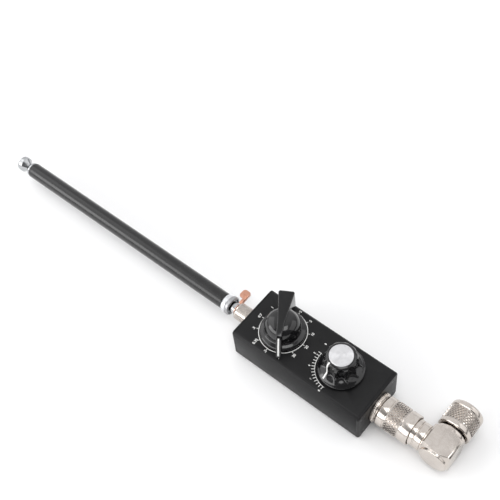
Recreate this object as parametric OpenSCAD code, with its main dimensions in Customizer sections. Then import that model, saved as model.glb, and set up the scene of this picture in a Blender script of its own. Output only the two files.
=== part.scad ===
// Pocket antenna tuner: a two-knob case, a telescopic whip with a heat-shrink
// grip on one end, and a right-angle plug with two coupling nuts on the other.
// Millimetres. The origin is the centre of the case's bottom face. +X runs to
// the plug, +Y to the back, +Z up through the knobs.

/* [Part to draw] */
// Sub-part to draw, or all of them

/* [Case] */
// Length of the case over both end plates
case_length = 88; // [84:0.5:110]
// Width of the case
case_width = 36; // [34:0.5:50]
// Height of the case
case_height = 24; // [23:0.5:32]
// Thickness of the side walls
wall_thickness = 1.4; // [1:0.1:2]
// Thickness of the floor
floor_thickness = 1.6; // [1.2:0.1:2.4]
// Thickness of the top panel
lid_thickness = 1.8; // [1.4:0.1:2.4]
// Thickness of each end plate
end_plate_thickness = 1.5; // [1:0.1:2.5]
// Radius of the long edges
edge_radius = 2.2; // [0.8:0.1:2.6]

/* [Band switch and knob] */
// Distance of the band switch from the middle of the case, towards the whip
band_offset = 21.2; // [20:0.1:26]
// Radius of the knob's skirt
band_skirt_radius = 13.2; // [12:0.1:15]
// Radius of the dome that stands on the skirt
band_dome_radius = 10.4; // [9:0.1:11]
// Reach of the pointer's tip from the axis
band_bar_reach = 17.4; // [16:0.1:18.5]
// Reach of the bar's back end from the axis
band_bar_tail = 18.6; // [15:0.1:20]
// Height of the pointer bar above the panel
band_bar_height = 15.2; // [14:0.1:18]
// Width of the bar at its back end
band_bar_width = 9.2; // [7:0.1:10]
// Angle the pointer rests at, from +X
band_rest_angle = -60; // [-150:30:180]

/* [Tuning capacitor and knob] */
// Distance of the tuning knob from the middle of the case, towards the plug
tuning_offset = 18.8; // [17:0.1:24]
// Distance of the tuning knob behind the centre line
tuning_setback = 0.8; // [0:0.1:2]
// Radius of the knob's skirt
tuning_skirt_radius = 13.2; // [12:0.1:15]
// Radius of the fluted body
tuning_body_radius = 9.4; // [9.1:0.1:10.5]
// Height of the knob above the panel
tuning_knob_height = 16; // [14:0.5:19]
// Radius of the metal cap let into the top
tuning_cap_radius = 6.8; // [6:0.1:7]
// Number of flutes round the knob
flute_count = 10; // [8:1:12]
// Angle the white line rests at, from +X
tuning_rest_angle = -108; // [-180:1:180]

/* [Plug] */
// Radius of the coupling nut on the case's socket
socket_nut_radius = 9; // [8.8:0.1:10]
// Radius of the coupling nut on the radio side
radio_nut_radius = 9.5; // [8.8:0.1:10]
// Distance from the end plate to the middle of the elbow block
elbow_reach = 40; // [38:0.5:48]
// Side of the elbow's square block
elbow_side = 17; // [16:0.5:20]
// Distance from the elbow's axis to the free face of the radio nut
radio_reach = 27.5; // [27:0.5:36]

/* [Whip] */
// Length of the black grip, from the collar to its free end
grip_length = 168.5; // [120:0.5:200]
// Radius of the outer whip tube
whip_radius = 4.5; // [4.2:0.1:5]
// Thickness of the heat-shrink grip
grip_thickness = 0.5; // [0.3:0.05:0.8]
// Radius of the tip button
tip_radius = 4.9; // [3.5:0.1:6]

/* [Hidden] */

$fn = 64;
tiny = 0.01;

// Colours
black_case = [0.13, 0.13, 0.14];
black_plastic = [0.05, 0.05, 0.055];
brown_plastic = [0.25, 0.15, 0.09];
white_plastic = [0.92, 0.92, 0.9];
white_ink = [0.97, 0.97, 0.97];
nickel = [0.76, 0.72, 0.68];
steel = [0.62, 0.63, 0.65];
brass = [0.8, 0.64, 0.32];
copper = [0.8, 0.47, 0.32];
silver = [0.86, 0.86, 0.87];
board_green = [0.1, 0.35, 0.2];
core_yellow = [0.83, 0.72, 0.25];
disc_orange = [0.78, 0.48, 0.18];

// Case
half_length = case_length / 2;
half_width = case_width / 2;
inner_half_length = half_length - end_plate_thickness;
inner_half_width = half_width - wall_thickness;
seam_height = case_height - lid_thickness;
mid_height = case_height / 2;
channel_radius = 2.1;
channel_bore = 1.05;
channel_y = inner_half_width - channel_radius - 0.2;
channel_low = floor_thickness + channel_radius - 0.1;
channel_high = seam_height - channel_radius + 0.3;
seam_groove = 0.5;
screw_gap = 0.05;
screw_shank = 1;
sunk_head = 2;
sunk_depth = 1;
screw_head = 2.1;
screw_head_height = 1.4;
end_screw_length = 8;

// Shafts and their clearances
shaft_radius = 3;
shaft_bore = 3.05;
knob_gap = 0.9;
knob_base = case_height + knob_gap;

// Band switch
band_x = -band_offset;
switch_radius = 10.5;
switch_depth = 10;
switch_bottom = seam_height - switch_depth;
switch_floor = 1.2;
switch_cavity = 9.3;
bushing_radius = 3.5;
bushing_top = case_height + 4.2;
washer_thickness = 0.5;
switch_nut_flats = 9;
switch_nut_height = 2.2;
terminal_circle = 8.4;
terminal_radius = 0.45;
terminal_top = switch_bottom + switch_floor + 1;
board_top = floor_thickness + 5;
terminal_bottom = board_top;
rotor_base = terminal_top + 0.6;
rotor_thickness = 1.4;
rotor_radius = 7.9;
wiper_drop = 0.25;
detent_base = rotor_base + 2.6;
detent_radius = 6.6;
detent_ball = 0.95;
position_angle = 30;
position_count = 12;
band_shaft_top = case_height + 11.5;
band_cavity_radius = 6.8;
band_cavity_top = bushing_top + 0.6;
bar_top = band_bar_height - knob_gap;
bar_corner = 1.6;
dome_top = 13;
pointer_width = 0.9;
pointer_depth = 0.4;
set_screw_radius = 1.45;
set_screw_hole = 1.5;

// Tuning capacitor
capacitor_side = 20;
capacitor_depth = 10.5;
capacitor_bottom = seam_height - capacitor_depth;
capacitor_wall = 1.2;
capacitor_roof = 1.5;
capacitor_inner = capacitor_side - 2 * capacitor_wall;
rotor_plate_radius = 7.2;
plate_thickness = 0.4;
plate_pitch = 1.6;
rotor_plate_count = 4;
plate_start = capacitor_bottom + 2.3;
post_offset = 7.4;
post_radius = 0.9;
tuning_shaft_top = case_height + 11.8;
core_shaft_radius = 2;
flush_screw_offset = 6.2;
flush_head_radius = 2.3;
flush_head_depth = 1.2;
tuning_top = case_height + tuning_knob_height;
tuning_recess_radius = 8.5;
tuning_recess_depth = 1.8;
flute_radius = 3.4;
flute_centre = tuning_body_radius + 2.2;
flute_bottom = knob_base + 3.9;
cap_depth = 0.7;
cap_proud = 0.1;

// Circuit board and what is on it
board_thickness = 1.6;
board_bottom = board_top - board_thickness;
board_half_length = 31;
board_half_width = channel_y - channel_radius - 0.2;
post_x = board_half_length - 2.4;
post_y = min(9, board_half_width - 3);
board_post_radius = 2.3;
toroid_x = (band_x + switch_radius + tuning_offset - capacitor_side / 2) / 2;
toroid_outer = 7;
toroid_inner = 3.8;
toroid_height = 5.4;
wire_radius = 0.25;
toroid_base = board_top + 2 * wire_radius;
turn_count = 22;
turn_angle = 14.5;
lead_radius = 0.3;
hookup_radius = 0.6;
pad_y = 3.4;

// Socket on the case and the plug that screws on to it
socket_barrel = 7.95;
socket_bore = 6.3;
socket_mouth = half_length + 15.6;
socket_flange = 9;
socket_flange_thickness = 1.5;
socket_seat = half_length + 3;
ring_nut_radius = 9;
ring_nut_length = 2.6;
contact_radius = 2.6;
contact_bore = 2.05;
pin_radius = 2;
nut_bore = 8.05;
lip_bore = 6.75;
shoulder_radius = 7.7;
under_lip_radius = 6.6;
nose_radius = 6.2;
core_bore = 4.8;
groove_depth = 0.5;
groove_length = 0.6;
knurl_count = 36;
knurl_cut = 0.66;

// Elbow, measured along X from the end plate's outer face
elbow_x = half_length + elbow_reach;
elbow_half = elbow_side / 2;
socket_nut_front = half_length + 3.6;
socket_nut_back = elbow_x - 16.2;
socket_lip_back = socket_nut_back - 1.6;
socket_lip_front = socket_nut_back - 4.9;
nose_tip_x = half_length + 7;
block_front = 8.4;
block_back = 8.8;
end_disc_radius = min(8.4, elbow_half - 0.1);
edge_bevel = 1;
turned_radius = elbow_half * 1.345;
turned_run = (turned_radius - end_disc_radius) * 0.577;

// Radio side, measured along Y from the elbow's axis
radio_nut_back = 11.9;
radio_lip_back = radio_nut_back + 1.7;
radio_lip_front = radio_lip_back + 3.4;
radio_shoulder_front = radio_lip_front + 2.2;
radio_flange_front = 10.6;
radio_nose_tip = radio_reach - 2.6;

// Whip base, measured along -X from the end plate's outer face
antenna_bushing_hole = 4.2;
stud_radius = 2.5;
stud_bore = 2.55;
boss_radius = 5.2;
boss_foot = half_length + 0.6;
boss_end = half_length + 11.6;
boss_thread_radius = 3;
lug_end = boss_end + 1;
lug_radius = 3.4;
leaf_thickness = 0.8;
leaf_top = 3.4;
leaf_length = 5;
leaf_start = 6.4;
leaf_end = 12.2;
leaf_corner = 2;
washer_end = boss_end + 5.6;
washer_radius = 3.3;
base_nut_end = washer_end + 1;
base_nut_radius = 5.9;
cup_radius = 4.9;
cup_depth = 1.6;
collar_end = base_nut_end + 3.1;
plug_length = 4.7;

// Whip sections, outermost first
section_step = 0.5;
section_wall = 0.3;
slide_gap = 0.05;
mouth_length = 2.5;
guide_length = 3;
section_count = 7;
whip_end = collar_end + grip_length + 1.4;
section_peek = 0.4;
section_start = collar_end + plug_length + 1;
section_stagger = 0.5;
tip_start = whip_end + section_count * section_peek - 0.3;
tip_neck = 2.8;
tip_length = 7.8;
tip_dome = 1.8;

// Helpers --------------------------------------------------------------

// Solid cylinder along X from one x to another
module rod_x(from_x, to_x, radius) {
    translate([min(from_x, to_x), 0, 0])
        rotate([0, 90, 0])
            cylinder(r = radius, h = abs(to_x - from_x));
}

// Solid cylinder along Y from one y to another
module rod_y(from_y, to_y, radius) {
    translate([0, min(from_y, to_y), 0])
        rotate([-90, 0, 0])
            cylinder(r = radius, h = abs(to_y - from_y));
}

// Solid cylinder up Z from one height to another
module rod_z(from_z, to_z, radius) {
    translate([0, 0, from_z])
        cylinder(r = radius, h = to_z - from_z);
}

// Tube along X
module tube_x(from_x, to_x, outer, inner) {
    difference() {
        rod_x(from_x, to_x, outer);
        rod_x(min(from_x, to_x) - 1, max(from_x, to_x) + 1, inner);
    }
}

// Bar along X with four rounded long edges, standing on z = 0
module rounded_bar(from_x, to_x, width, height, radius) {
    run = to_x - from_x;
    translate([from_x, -width / 2, radius])
        cube([run, width, height - 2 * radius]);
    translate([from_x, radius - width / 2, 0])
        cube([run, width - 2 * radius, height]);
    for (side = [-1, 1])
        for (level = [radius, height - radius])
            translate([0, side * (width / 2 - radius), level])
                rod_x(from_x, to_x, radius);
}

// Pan-head cross-recess screw, head on +Z, seat at z = 0
module pan_screw(shank_length) {
    difference() {
        union() {
            rod_z(0, screw_head_height - 0.5, screw_head);
            translate([0, 0, screw_head_height - 0.5])
                cylinder(r1 = screw_head, r2 = screw_head - 0.7, h = 0.5);
            rod_z(-shank_length, tiny, screw_shank);
        }
        for (turn = [0, 90])
            rotate([0, 0, turn])
                translate([-1.1, -0.25, screw_head_height - 0.8])
                    cube([2.2, 0.5, 1]);
    }
}

// Countersunk cross-recess screw, head flush with z = 0, shank on -Z
module sunk_screw(shank_length) {
    difference() {
        union() {
            rod_z(-shank_length, 0, screw_shank);
            sunk_cone(0);
        }
        for (turn = [0, 90])
            rotate([0, 0, turn])
                translate([-1.1, -0.25, -0.6])
                    cube([2.2, 0.5, 1]);
    }
}

// Space under a countersunk head, with a gap round it
module sunk_cone(gap) {
    translate([0, 0, -sunk_depth])
        cylinder(r1 = screw_shank + gap, r2 = sunk_head + gap, h = sunk_depth);
}

// Outline of radius and height made a slab that stands on a knob's axis
module knob_slab(width) {
    translate([0, width / 2, knob_base])
        rotate([90, 0, 0])
            linear_extrude(height = width)
                children();
}

// Hexagonal prism up Z
module hex_prism(flats, height) {
    cylinder(r = flats / sqrt(3), h = height, $fn = 6);
}

// Wire along a list of points, round at each bend
module wire_path(points, radius) {
    for (i = [0 : len(points) - 2]) {
        step = points[i + 1] - points[i];
        run = norm(step);
        translate(points[i])
            rotate([0, acos(step[2] / run), atan2(step[1], step[0])])
                cylinder(r = radius, h = run);
    }
    for (i = [1 : len(points) - 2])
        translate(points[i])
            sphere(r = radius);
}

// Move to the axis of the band switch
module at_band() {
    translate([band_x, 0, 0])
        children();
}

// Move to the axis of the tuning capacitor
module at_tuning() {
    translate([tuning_offset, tuning_setback, 0])
        children();
}

// Move to the line that the plug and the whip share
module at_line() {
    translate([0, 0, mid_height])
        children();
}

// Move to the line of the radio side of the elbow
module at_radio() {
    translate([elbow_x, 0, mid_height])
        children();
}

// Case -----------------------------------------------------------------

module case_outline(from_x, to_x) {
    rounded_bar(from_x, to_x, case_width, case_height, edge_radius);
}

module seam_grooves() {
    for (side = [-1, 1])
        translate([0, side * half_width, seam_height])
            rotate([45, 0, 0])
                cube([case_length, seam_groove, seam_groove], center = true);
}

module screw_channels(level, radius) {
    for (side = [-1, 1])
        translate([0, side * channel_y, level])
            rod_x(-inner_half_length, inner_half_length, radius);
}

module case_body() {
    color(black_case)
        difference() {
            union() {
                difference() {
                    case_outline(-inner_half_length, inner_half_length);
                    translate([-case_length, -inner_half_width, floor_thickness])
                        cube([2 * case_length, 2 * inner_half_width, case_height]);
                    translate([-case_length, -case_width, seam_height])
                        cube([2 * case_length, 2 * case_width, case_height]);
                    seam_grooves();
                }
                screw_channels(channel_low, channel_radius);
            }
            screw_channels(channel_low, channel_bore);
        }
}

module case_top() {
    color(black_case)
        difference() {
            union() {
                difference() {
                    case_outline(-inner_half_length, inner_half_length);
                    translate([-case_length, -case_width, -1])
                        cube([2 * case_length, 2 * case_width, seam_height + 1]);
                    seam_grooves();
                }
                screw_channels(channel_high, channel_radius);
            }
            screw_channels(channel_high, channel_bore);
            at_band()
                rod_z(seam_height - 1, case_height + 1, bushing_radius + 0.1);
            at_tuning() {
                rod_z(seam_height - 1, case_height + 1, shaft_radius + 0.3);
                flush_screws(0.05);
            }
        }
}

// Move to the face of each screw in one end plate, with +Z outwards
module at_end_screws(side) {
    for (level = [channel_low, channel_high])
        for (edge = [-1, 1])
            translate([side * half_length, edge * channel_y, level])
                rotate([0, side * 90, 0])
                    children();
}

module end_plate(side, hole_radius) {
    from_x = side > 0 ? inner_half_length : -half_length;
    to_x = side > 0 ? half_length : -inner_half_length;
    color(black_case)
        difference() {
            case_outline(from_x, to_x);
            at_line()
                rod_x(from_x - 1, to_x + 1, hole_radius);
            at_end_screws(side) {
                rod_z(-2 * end_plate_thickness, 1, screw_shank + screw_gap);
                sunk_cone(screw_gap);
            }
        }
}

module end_plate_antenna() {
    end_plate(-1, antenna_bushing_hole + 0.02);
}

module end_plate_connector() {
    end_plate(1, socket_barrel + 0.05);
}

module end_plate_screws() {
    color(black_case)
        for (side = [-1, 1])
            at_end_screws(side)
                sunk_screw(end_screw_length);
}

// Band switch ------------------------------------------------------------

// Sloping top of the pointer bar, from the crest down to the tip
function band_nose() = [
    [12.2, bar_top - 2], [band_bar_reach - 2.4, 0.47 * bar_top],
    [band_bar_reach - 0.3, 1]
];

module band_bar_side() {
    polygon(concat(
        [[band_bar_reach, 0], [-band_bar_tail, 0]],
        [[-band_bar_tail, bar_top - 2.2], [-band_bar_tail + 0.4, bar_top - 1.5],
            [-band_bar_tail + 1.2, bar_top - 1.1]],
        [[-8, bar_top - 0.8], [3.5, bar_top], [8, bar_top - 0.4], [11, bar_top - 1.1]],
        band_nose(),
        [[band_bar_reach, 0.3]]
    ));
}

// Plan of the bar: a wide back end with round corners and a narrow nose
module band_bar_plan() {
    corner_x = -band_bar_tail + bar_corner;
    corner_y = band_bar_width / 2 - bar_corner;
    half_plan = concat(
        [[band_bar_reach, 1.28], [3.5, 1.95]],
        [for (a = [100 : 16 : 164]) [corner_x, corner_y] + bar_corner * [cos(a), sin(a)]],
        [[-band_bar_tail, corner_y]]
    );
    last = len(half_plan) - 1;
    polygon(concat(
        half_plan,
        [for (i = [last : -1 : 0]) [half_plan[i][0], -half_plan[i][1]]]
    ));
}

module band_bar() {
    intersection() {
        knob_slab(2 * band_bar_width)
            band_bar_side();
        translate([0, 0, knob_base - 1])
            linear_extrude(height = band_bar_height + 2)
                band_bar_plan();
    }
}

module band_dome() {
    skirt = band_skirt_radius;
    dome = band_dome_radius;
    foot = 3.4;
    rise = dome_top - foot;
    translate([0, 0, knob_base])
        rotate_extrude()
            polygon(concat(
                [[0, 0], [skirt, 0], [skirt, 1.2], [skirt - 0.5, 1.8], [dome + 0.5, 2.6]],
                [for (a = [0 : 9 : 81]) [dome * pow(cos(a), 0.62), foot + rise * pow(sin(a), 0.8)]],
                [[0, dome_top]]
            ));
}

module band_line_shape() {
    deep = pointer_depth;
    knob_slab(pointer_width)
        polygon(concat(
            band_nose(),
            [[band_bar_reach - 0.3 - 1.1 * deep, 1],
                [band_bar_reach - 2.4 - deep, 0.46 * bar_top],
                [12.2 - deep, bar_top - 2.1 - 0.4 * deep]]
        ));
}

module band_knob() {
    color(black_plastic)
        at_band()
            rotate([0, 0, band_rest_angle])
                difference() {
                    union() {
                        band_dome();
                        band_bar();
                    }
                    rod_z(knob_base - 1, band_cavity_top, band_cavity_radius);
                    rod_z(knob_base - 1, band_shaft_top + 0.3, shaft_bore);
                    translate([0, 0, knob_base + 6.6])
                        rod_y(0, band_skirt_radius, set_screw_hole);
                    band_line_shape();
                }
}

module band_pointer_line() {
    color(white_ink)
        at_band()
            rotate([0, 0, band_rest_angle])
                band_line_shape();
}

module socket_set_screw(from_y, to_y) {
    difference() {
        rod_y(from_y, to_y, set_screw_radius);
        translate([0, to_y - 1.2, 0])
            rotate([-90, 0, 0])
                hex_prism(1.5, 2);
    }
}

module band_set_screw() {
    color(steel)
        at_band()
            rotate([0, 0, band_rest_angle])
                translate([0, 0, knob_base + 6.6])
                    socket_set_screw(shaft_radius + 0.02, shaft_radius + 4.4);
}

module switch_housing() {
    color(brown_plastic)
        at_band()
            difference() {
                union() {
                    rod_z(switch_bottom, seam_height, switch_radius);
                    rod_z(seam_height - 1, bushing_top, bushing_radius);
                }
                rod_z(switch_bottom + switch_floor, seam_height - 1.8, switch_cavity);
                rod_z(switch_bottom + switch_floor, bushing_top + 1, shaft_bore);
                rod_z(switch_bottom + 0.5, switch_bottom + 3, 1.56);
                for (i = [0 : position_count - 1])
                    rotate([0, 0, i * position_angle])
                        translate([terminal_circle, 0, 0])
                            rod_z(switch_bottom - 1, switch_bottom + 3, 0.47);
                rotate([0, 0, position_angle / 2])
                    translate([terminal_circle - 3.2, 0, 0])
                        rod_z(switch_bottom - 1, switch_bottom + 3, 0.47);
            }
}

module switch_washer() {
    color(steel)
        at_band()
            difference() {
                rod_z(case_height, case_height + washer_thickness, 5.6);
                rod_z(case_height - 1, case_height + 2, bushing_radius + 0.1);
            }
}

module switch_nut() {
    color(nickel)
        at_band()
            translate([0, 0, case_height + washer_thickness])
                difference() {
                    hex_prism(switch_nut_flats, switch_nut_height);
                    rod_z(-1, switch_nut_height + 1, bushing_radius + 0.05);
                }
}

module switch_shaft() {
    color(brass)
        at_band() {
            rod_z(rotor_base - 0.4, band_shaft_top, shaft_radius);
            rod_z(switch_bottom + 0.7, rotor_base, 1.5);
        }
}

module switch_rotor() {
    color(white_plastic)
        at_band()
            rotate([0, 0, band_rest_angle])
                difference() {
                    union() {
                        rod_z(rotor_base, rotor_base + rotor_thickness, rotor_radius);
                        translate([terminal_circle - 1.4, 0, 0])
                            rod_z(rotor_base - wiper_drop, rotor_base + 1, 0.8);
                        rod_z(rotor_base, detent_base + 1, 4.4);
                        rod_z(detent_base, detent_base + 1.2, detent_radius);
                    }
                    rod_z(rotor_base - 2, detent_base + 3, shaft_radius + 0.02);
                    for (i = [0 : position_count - 1])
                        rotate([0, 0, i * position_angle])
                            translate([detent_radius + 0.45, 0, 0])
                                rod_z(detent_base - 0.5, detent_base + 2, 1);
                }
}

module switch_terminals() {
    color(silver)
        at_band() {
            for (i = [0 : position_count - 1])
                rotate([0, 0, i * position_angle])
                    translate([terminal_circle, 0, 0])
                        rod_z(terminal_bottom, terminal_top, terminal_radius);
            rotate([0, 0, position_angle / 2])
                translate([terminal_circle - 3.2, 0, 0])
                    rod_z(terminal_bottom, terminal_top, terminal_radius);
        }
}

module switch_detent() {
    color(steel)
        at_band() {
            translate([0, detent_radius + 0.35 + detent_ball, detent_base + 0.6])
                sphere(r = detent_ball);
            translate([-2.5, switch_cavity - 0.9, detent_base - 0.2])
                cube([5, 0.3, 1.6]);
        }
}

// Tuning capacitor -------------------------------------------------------

function tuning_profile() = let(
    r = tuning_body_radius,
    s = tuning_skirt_radius,
    t = tuning_knob_height - knob_gap
) [
    [s, 0], [s, 1], [s - 0.4, 1.5], [s - 1.1, 2], [s - 1.8, 2.7],
    [0.45 * s + 0.55 * r, 3.7], [r + 0.3, 5.4], [r, 7.2], [r - 0.1, 11],
    [r - 0.3, t - 2.5], [r - 0.7, t - 1.2], [r - 1.3, t - 0.5],
    [r - 2.1, t], [0, t], [0, 0]
];

module tuning_knob() {
    color(black_plastic)
        at_tuning()
            rotate([0, 0, tuning_rest_angle])
                difference() {
                    translate([0, 0, knob_base])
                        rotate_extrude()
                            polygon(tuning_profile());
                    for (i = [0 : flute_count - 1])
                        rotate([0, 0, (i + 0.5) * 360 / flute_count])
                            translate([flute_centre, 0, 0])
                                rod_z(flute_bottom, tuning_top + 1, flute_radius);
                    rod_z(knob_base - 1, knob_base + tuning_recess_depth,
                        tuning_recess_radius);
                    rod_z(knob_base - 1, tuning_shaft_top + 0.3, shaft_bore);
                    rod_z(tuning_top - cap_depth, tuning_top + 1,
                        tuning_cap_radius + 0.03);
                    rotate([0, 0, 180 + 180 / flute_count])
                        translate([0, 0, knob_base + 6.6])
                            rotate([0, 0, -90])
                                rod_y(0, tuning_skirt_radius, set_screw_hole);
                    tuning_line_slot();
                }
}

module tuning_cap() {
    color(silver)
        at_tuning()
            difference() {
                rod_z(tuning_top - cap_depth, tuning_top + cap_proud,
                    tuning_cap_radius);
                translate([0, 0, tuning_top + cap_proud - 0.15])
                    difference() {
                        rod_z(0, 1, tuning_cap_radius - 0.5);
                        rod_z(-1, 2, tuning_cap_radius - 0.9);
                    }
            }
}

// Inner side of the pointer line, from its upper end down
function tuning_line_floor() = let(
    r = tuning_body_radius,
    s = tuning_skirt_radius,
    t = tuning_knob_height - knob_gap
) [
    [r - 1.9, t - 0.5], [r - 1.6, t - 0.85], [r - 1.1, t - 1.5],
    [r - 0.7, t - 2.6], [r - 0.5, 11], [r - 0.4, 7.2], [r - 0.1, 5.3],
    [0.45 * s + 0.55 * r - 0.4, 3.5], [s - 2.2, 2.4], [s - 1.4, 1.7], [s - 0.7, 1.2]
];

module tuning_line_shape() {
    knob_slab(pointer_width)
        polygon(concat(
            [for (i = [2 : 11]) tuning_profile()[i]],
            [[tuning_body_radius - 1.9, tuning_knob_height - knob_gap - 0.11]],
            tuning_line_floor()
        ));
}

module tuning_line_slot() {
    reach = tuning_skirt_radius + 1;
    top = tuning_knob_height + 1;
    knob_slab(pointer_width)
        polygon(concat(
            [[reach, 1.2], [reach, top], [tuning_body_radius - 1.9, top]],
            tuning_line_floor()
        ));
}

module tuning_pointer_line() {
    color(white_ink)
        at_tuning()
            rotate([0, 0, tuning_rest_angle])
                tuning_line_shape();
}

module tuning_set_screw() {
    color(steel)
        at_tuning()
            rotate([0, 0, tuning_rest_angle + 90 + 180 / flute_count])
                translate([0, 0, knob_base + 6.6])
                    socket_set_screw(shaft_radius + 0.02, shaft_radius + 4.4);
}

module capacitor_housing() {
    side = capacitor_side;
    color(white_plastic)
        at_tuning()
            difference() {
                translate([-side / 2, -side / 2, capacitor_bottom])
                    cube([side, side, capacitor_depth]);
                translate([-capacitor_inner / 2, -capacitor_inner / 2,
                    capacitor_bottom + capacitor_wall])
                    cube([capacitor_inner, capacitor_inner,
                        capacitor_depth - capacitor_wall - capacitor_roof]);
                rod_z(seam_height - 3, seam_height + 1, shaft_bore);
                rod_z(capacitor_bottom + 0.4, capacitor_bottom + 3,
                    core_shaft_radius + 0.05);
                for (edge = [-1, 1])
                    translate([edge * post_offset, -post_offset, 0])
                        rod_z(capacitor_bottom - 1, capacitor_bottom + 3,
                            post_radius + 0.02);
                translate([0, post_offset, 0])
                    rod_z(capacitor_bottom - 1, capacitor_bottom + 3, 0.52);
                flush_screws(0.05);
            }
}

module flush_screws(gap) {
    for (edge = [-1, 1])
        translate([edge * flush_screw_offset, flush_screw_offset, 0]) {
            rod_z(seam_height - capacitor_roof + 0.1, case_height,
                1.2 + gap);
            translate([0, 0, case_height - flush_head_depth])
                cylinder(r1 = 1.2 + gap, r2 = flush_head_radius + gap,
                    h = flush_head_depth + tiny);
        }
}

module capacitor_screws() {
    color(steel)
        at_tuning()
            difference() {
                flush_screws(0);
                rod_z(case_height, case_height + 2, tuning_skirt_radius);
                for (edge = [-1, 1])
                    translate([edge * flush_screw_offset, flush_screw_offset,
                        case_height - 0.6])
                        for (turn = [0, 90])
                            rotate([0, 0, turn])
                                translate([-1.2, -0.25, 0])
                                    cube([2.4, 0.5, 1]);
            }
}

module capacitor_shaft() {
    color(brass)
        at_tuning() {
            rod_z(seam_height - 1.4, tuning_shaft_top, shaft_radius);
            rod_z(capacitor_bottom + 0.6, seam_height - 1, core_shaft_radius);
        }
}

module capacitor_rotor() {
    color(silver)
        at_tuning()
            for (i = [0 : rotor_plate_count - 1])
                translate([0, 0, plate_start + i * plate_pitch])
                    difference() {
                        rod_z(0, plate_thickness, rotor_plate_radius);
                        translate([-10, 2.6, -1])
                            cube([20, 10, 3]);
                        rod_z(-1, 2, core_shaft_radius + 0.02);
                    }
}

module capacitor_stator() {
    reach = post_offset + post_radius;
    top = plate_start + (rotor_plate_count - 1) * plate_pitch;
    color(silver)
        at_tuning() {
            for (i = [0 : rotor_plate_count - 2])
                translate([0, 0, plate_start + (i + 0.5) * plate_pitch])
                    difference() {
                        translate([-reach, -reach, 0])
                            cube([2 * reach, reach - 0.6, plate_thickness]);
                        rod_z(-1, 2, shaft_radius);
                    }
            for (edge = [-1, 1])
                translate([edge * post_offset, -post_offset, 0])
                    rod_z(board_top, top, post_radius);
        }
}

module capacitor_wiper() {
    color(copper)
        at_tuning() {
            translate([0, post_offset, 0])
                rod_z(board_top, capacitor_bottom + 1.9, 0.5);
            translate([-0.8, core_shaft_radius + 0.35, capacitor_bottom + 1.4])
                cube([1.6, post_offset - core_shaft_radius, 0.5]);
        }
}

// Circuit board ----------------------------------------------------------

module at_posts() {
    for (along = [-post_x, post_x])
        for (across = [-post_y, post_y])
            translate([along, across, 0])
                children();
}

module circuit_board() {
    color(board_green)
        difference() {
            translate([-board_half_length, -board_half_width, board_bottom])
                cube([2 * board_half_length, 2 * board_half_width,
                    board_thickness]);
            at_posts()
                rod_z(board_bottom - 1, board_top + 1, 1.2);
        }
}

module board_posts() {
    color(brass)
        at_posts()
            difference() {
                rod_z(floor_thickness, board_bottom, board_post_radius);
                rod_z(floor_thickness + 0.5, board_bottom + 1, channel_bore);
            }
}

module board_screws() {
    color(steel)
        at_posts()
            translate([0, 0, board_top])
                pan_screw(board_thickness + 2.4);
}

module toroid_core() {
    color(core_yellow)
        translate([toroid_x, 0, toroid_base])
            difference() {
                cylinder(r = toroid_outer, h = toroid_height);
                translate([0, 0, -1])
                    cylinder(r = toroid_inner, h = toroid_height + 2);
            }
}

module toroid_winding() {
    near = toroid_inner - wire_radius;
    far = toroid_outer + wire_radius;
    low = toroid_base - wire_radius;
    high = toroid_base + toroid_height + wire_radius;
    color(copper)
        translate([toroid_x, 0, 0])
            for (i = [0 : turn_count - 1])
                rotate([0, 0, i * turn_angle])
                    wire_path([
                        [near, 0, low + 1], [near, 0, high], [far, 0, high],
                        [far, 0, low], [near, 0, low], [near, 0, low + 1.1]
                    ], wire_radius);
}

module disc_capacitors() {
    for (side = [-1, 1])
        translate([toroid_x, side * (toroid_outer + 2.6), 0]) {
            color(disc_orange)
                translate([0, 0, board_top + 5])
                    rod_y(-0.9, 0.9, 3);
            color(silver)
                for (lead = [-1.6, 1.6])
                    translate([lead, 0, 0])
                        rod_z(board_top, board_top + 3.2, lead_radius);
        }
}

module axial_coils() {
    for (side = [-1, 1])
        translate([tuning_offset + 1, side * 4, board_top + 2.2]) {
            color(board_green)
                rod_x(-3, 3, 1.5);
            color(silver)
                for (end = [-1, 1])
                    wire_path([
                        [end * 2.9, 0, 0], [end * 5, 0, 0], [end * 5, 0, -2.2]
                    ], lead_radius);
        }
}

module hookup_wires() {
    rear_x = inner_half_length - 3.4;
    front_x = boss_thread_end();
    pad_x = board_half_length - 0.9;
    color(disc_orange) {
        wire_path([
            [-front_x, 0, mid_height], [-front_x + 2.6, 0, mid_height],
            [-front_x + 2.6, 0, board_top + 2.2],
            [-front_x + 2.6, pad_y, board_top + 2.2],
            [-pad_x, pad_y, board_top + 2.2], [-pad_x, pad_y, board_top]
        ], hookup_radius);
        wire_path([
            [rear_x - 3.1, 0, mid_height], [rear_x - 5, 0, mid_height],
            [rear_x - 5, 0, board_top + 2.2],
            [board_half_length - 1, 0, board_top + 2.2],
            [board_half_length - 1, 0, board_top]
        ], hookup_radius);
    }
}

// Socket on the case -----------------------------------------------------

module socket_body() {
    inside = inner_half_length - socket_flange_thickness;
    color(nickel)
        at_line()
            difference() {
                union() {
                    rod_x(inside, inner_half_length, socket_flange);
                    rod_x(inside, socket_mouth, socket_barrel);
                }
                rod_x(inside - 1, socket_mouth + 1, socket_bore);
            }
}

module socket_ring_nut() {
    color(nickel)
        at_line()
            difference() {
                rod_x(half_length, half_length + ring_nut_length,
                    ring_nut_radius);
                rod_x(half_length - 1, half_length + 5, socket_barrel + 0.02);
                for (i = [0 : knurl_count - 1])
                    rotate([i * 360 / knurl_count, 0, 0])
                        translate([half_length + 0.5, 0, ring_nut_radius])
                            rotate([45, 0, 0])
                                translate([0, -0.25, -0.25])
                                    cube([1.6, 0.5, 0.5]);
            }
}

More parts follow.
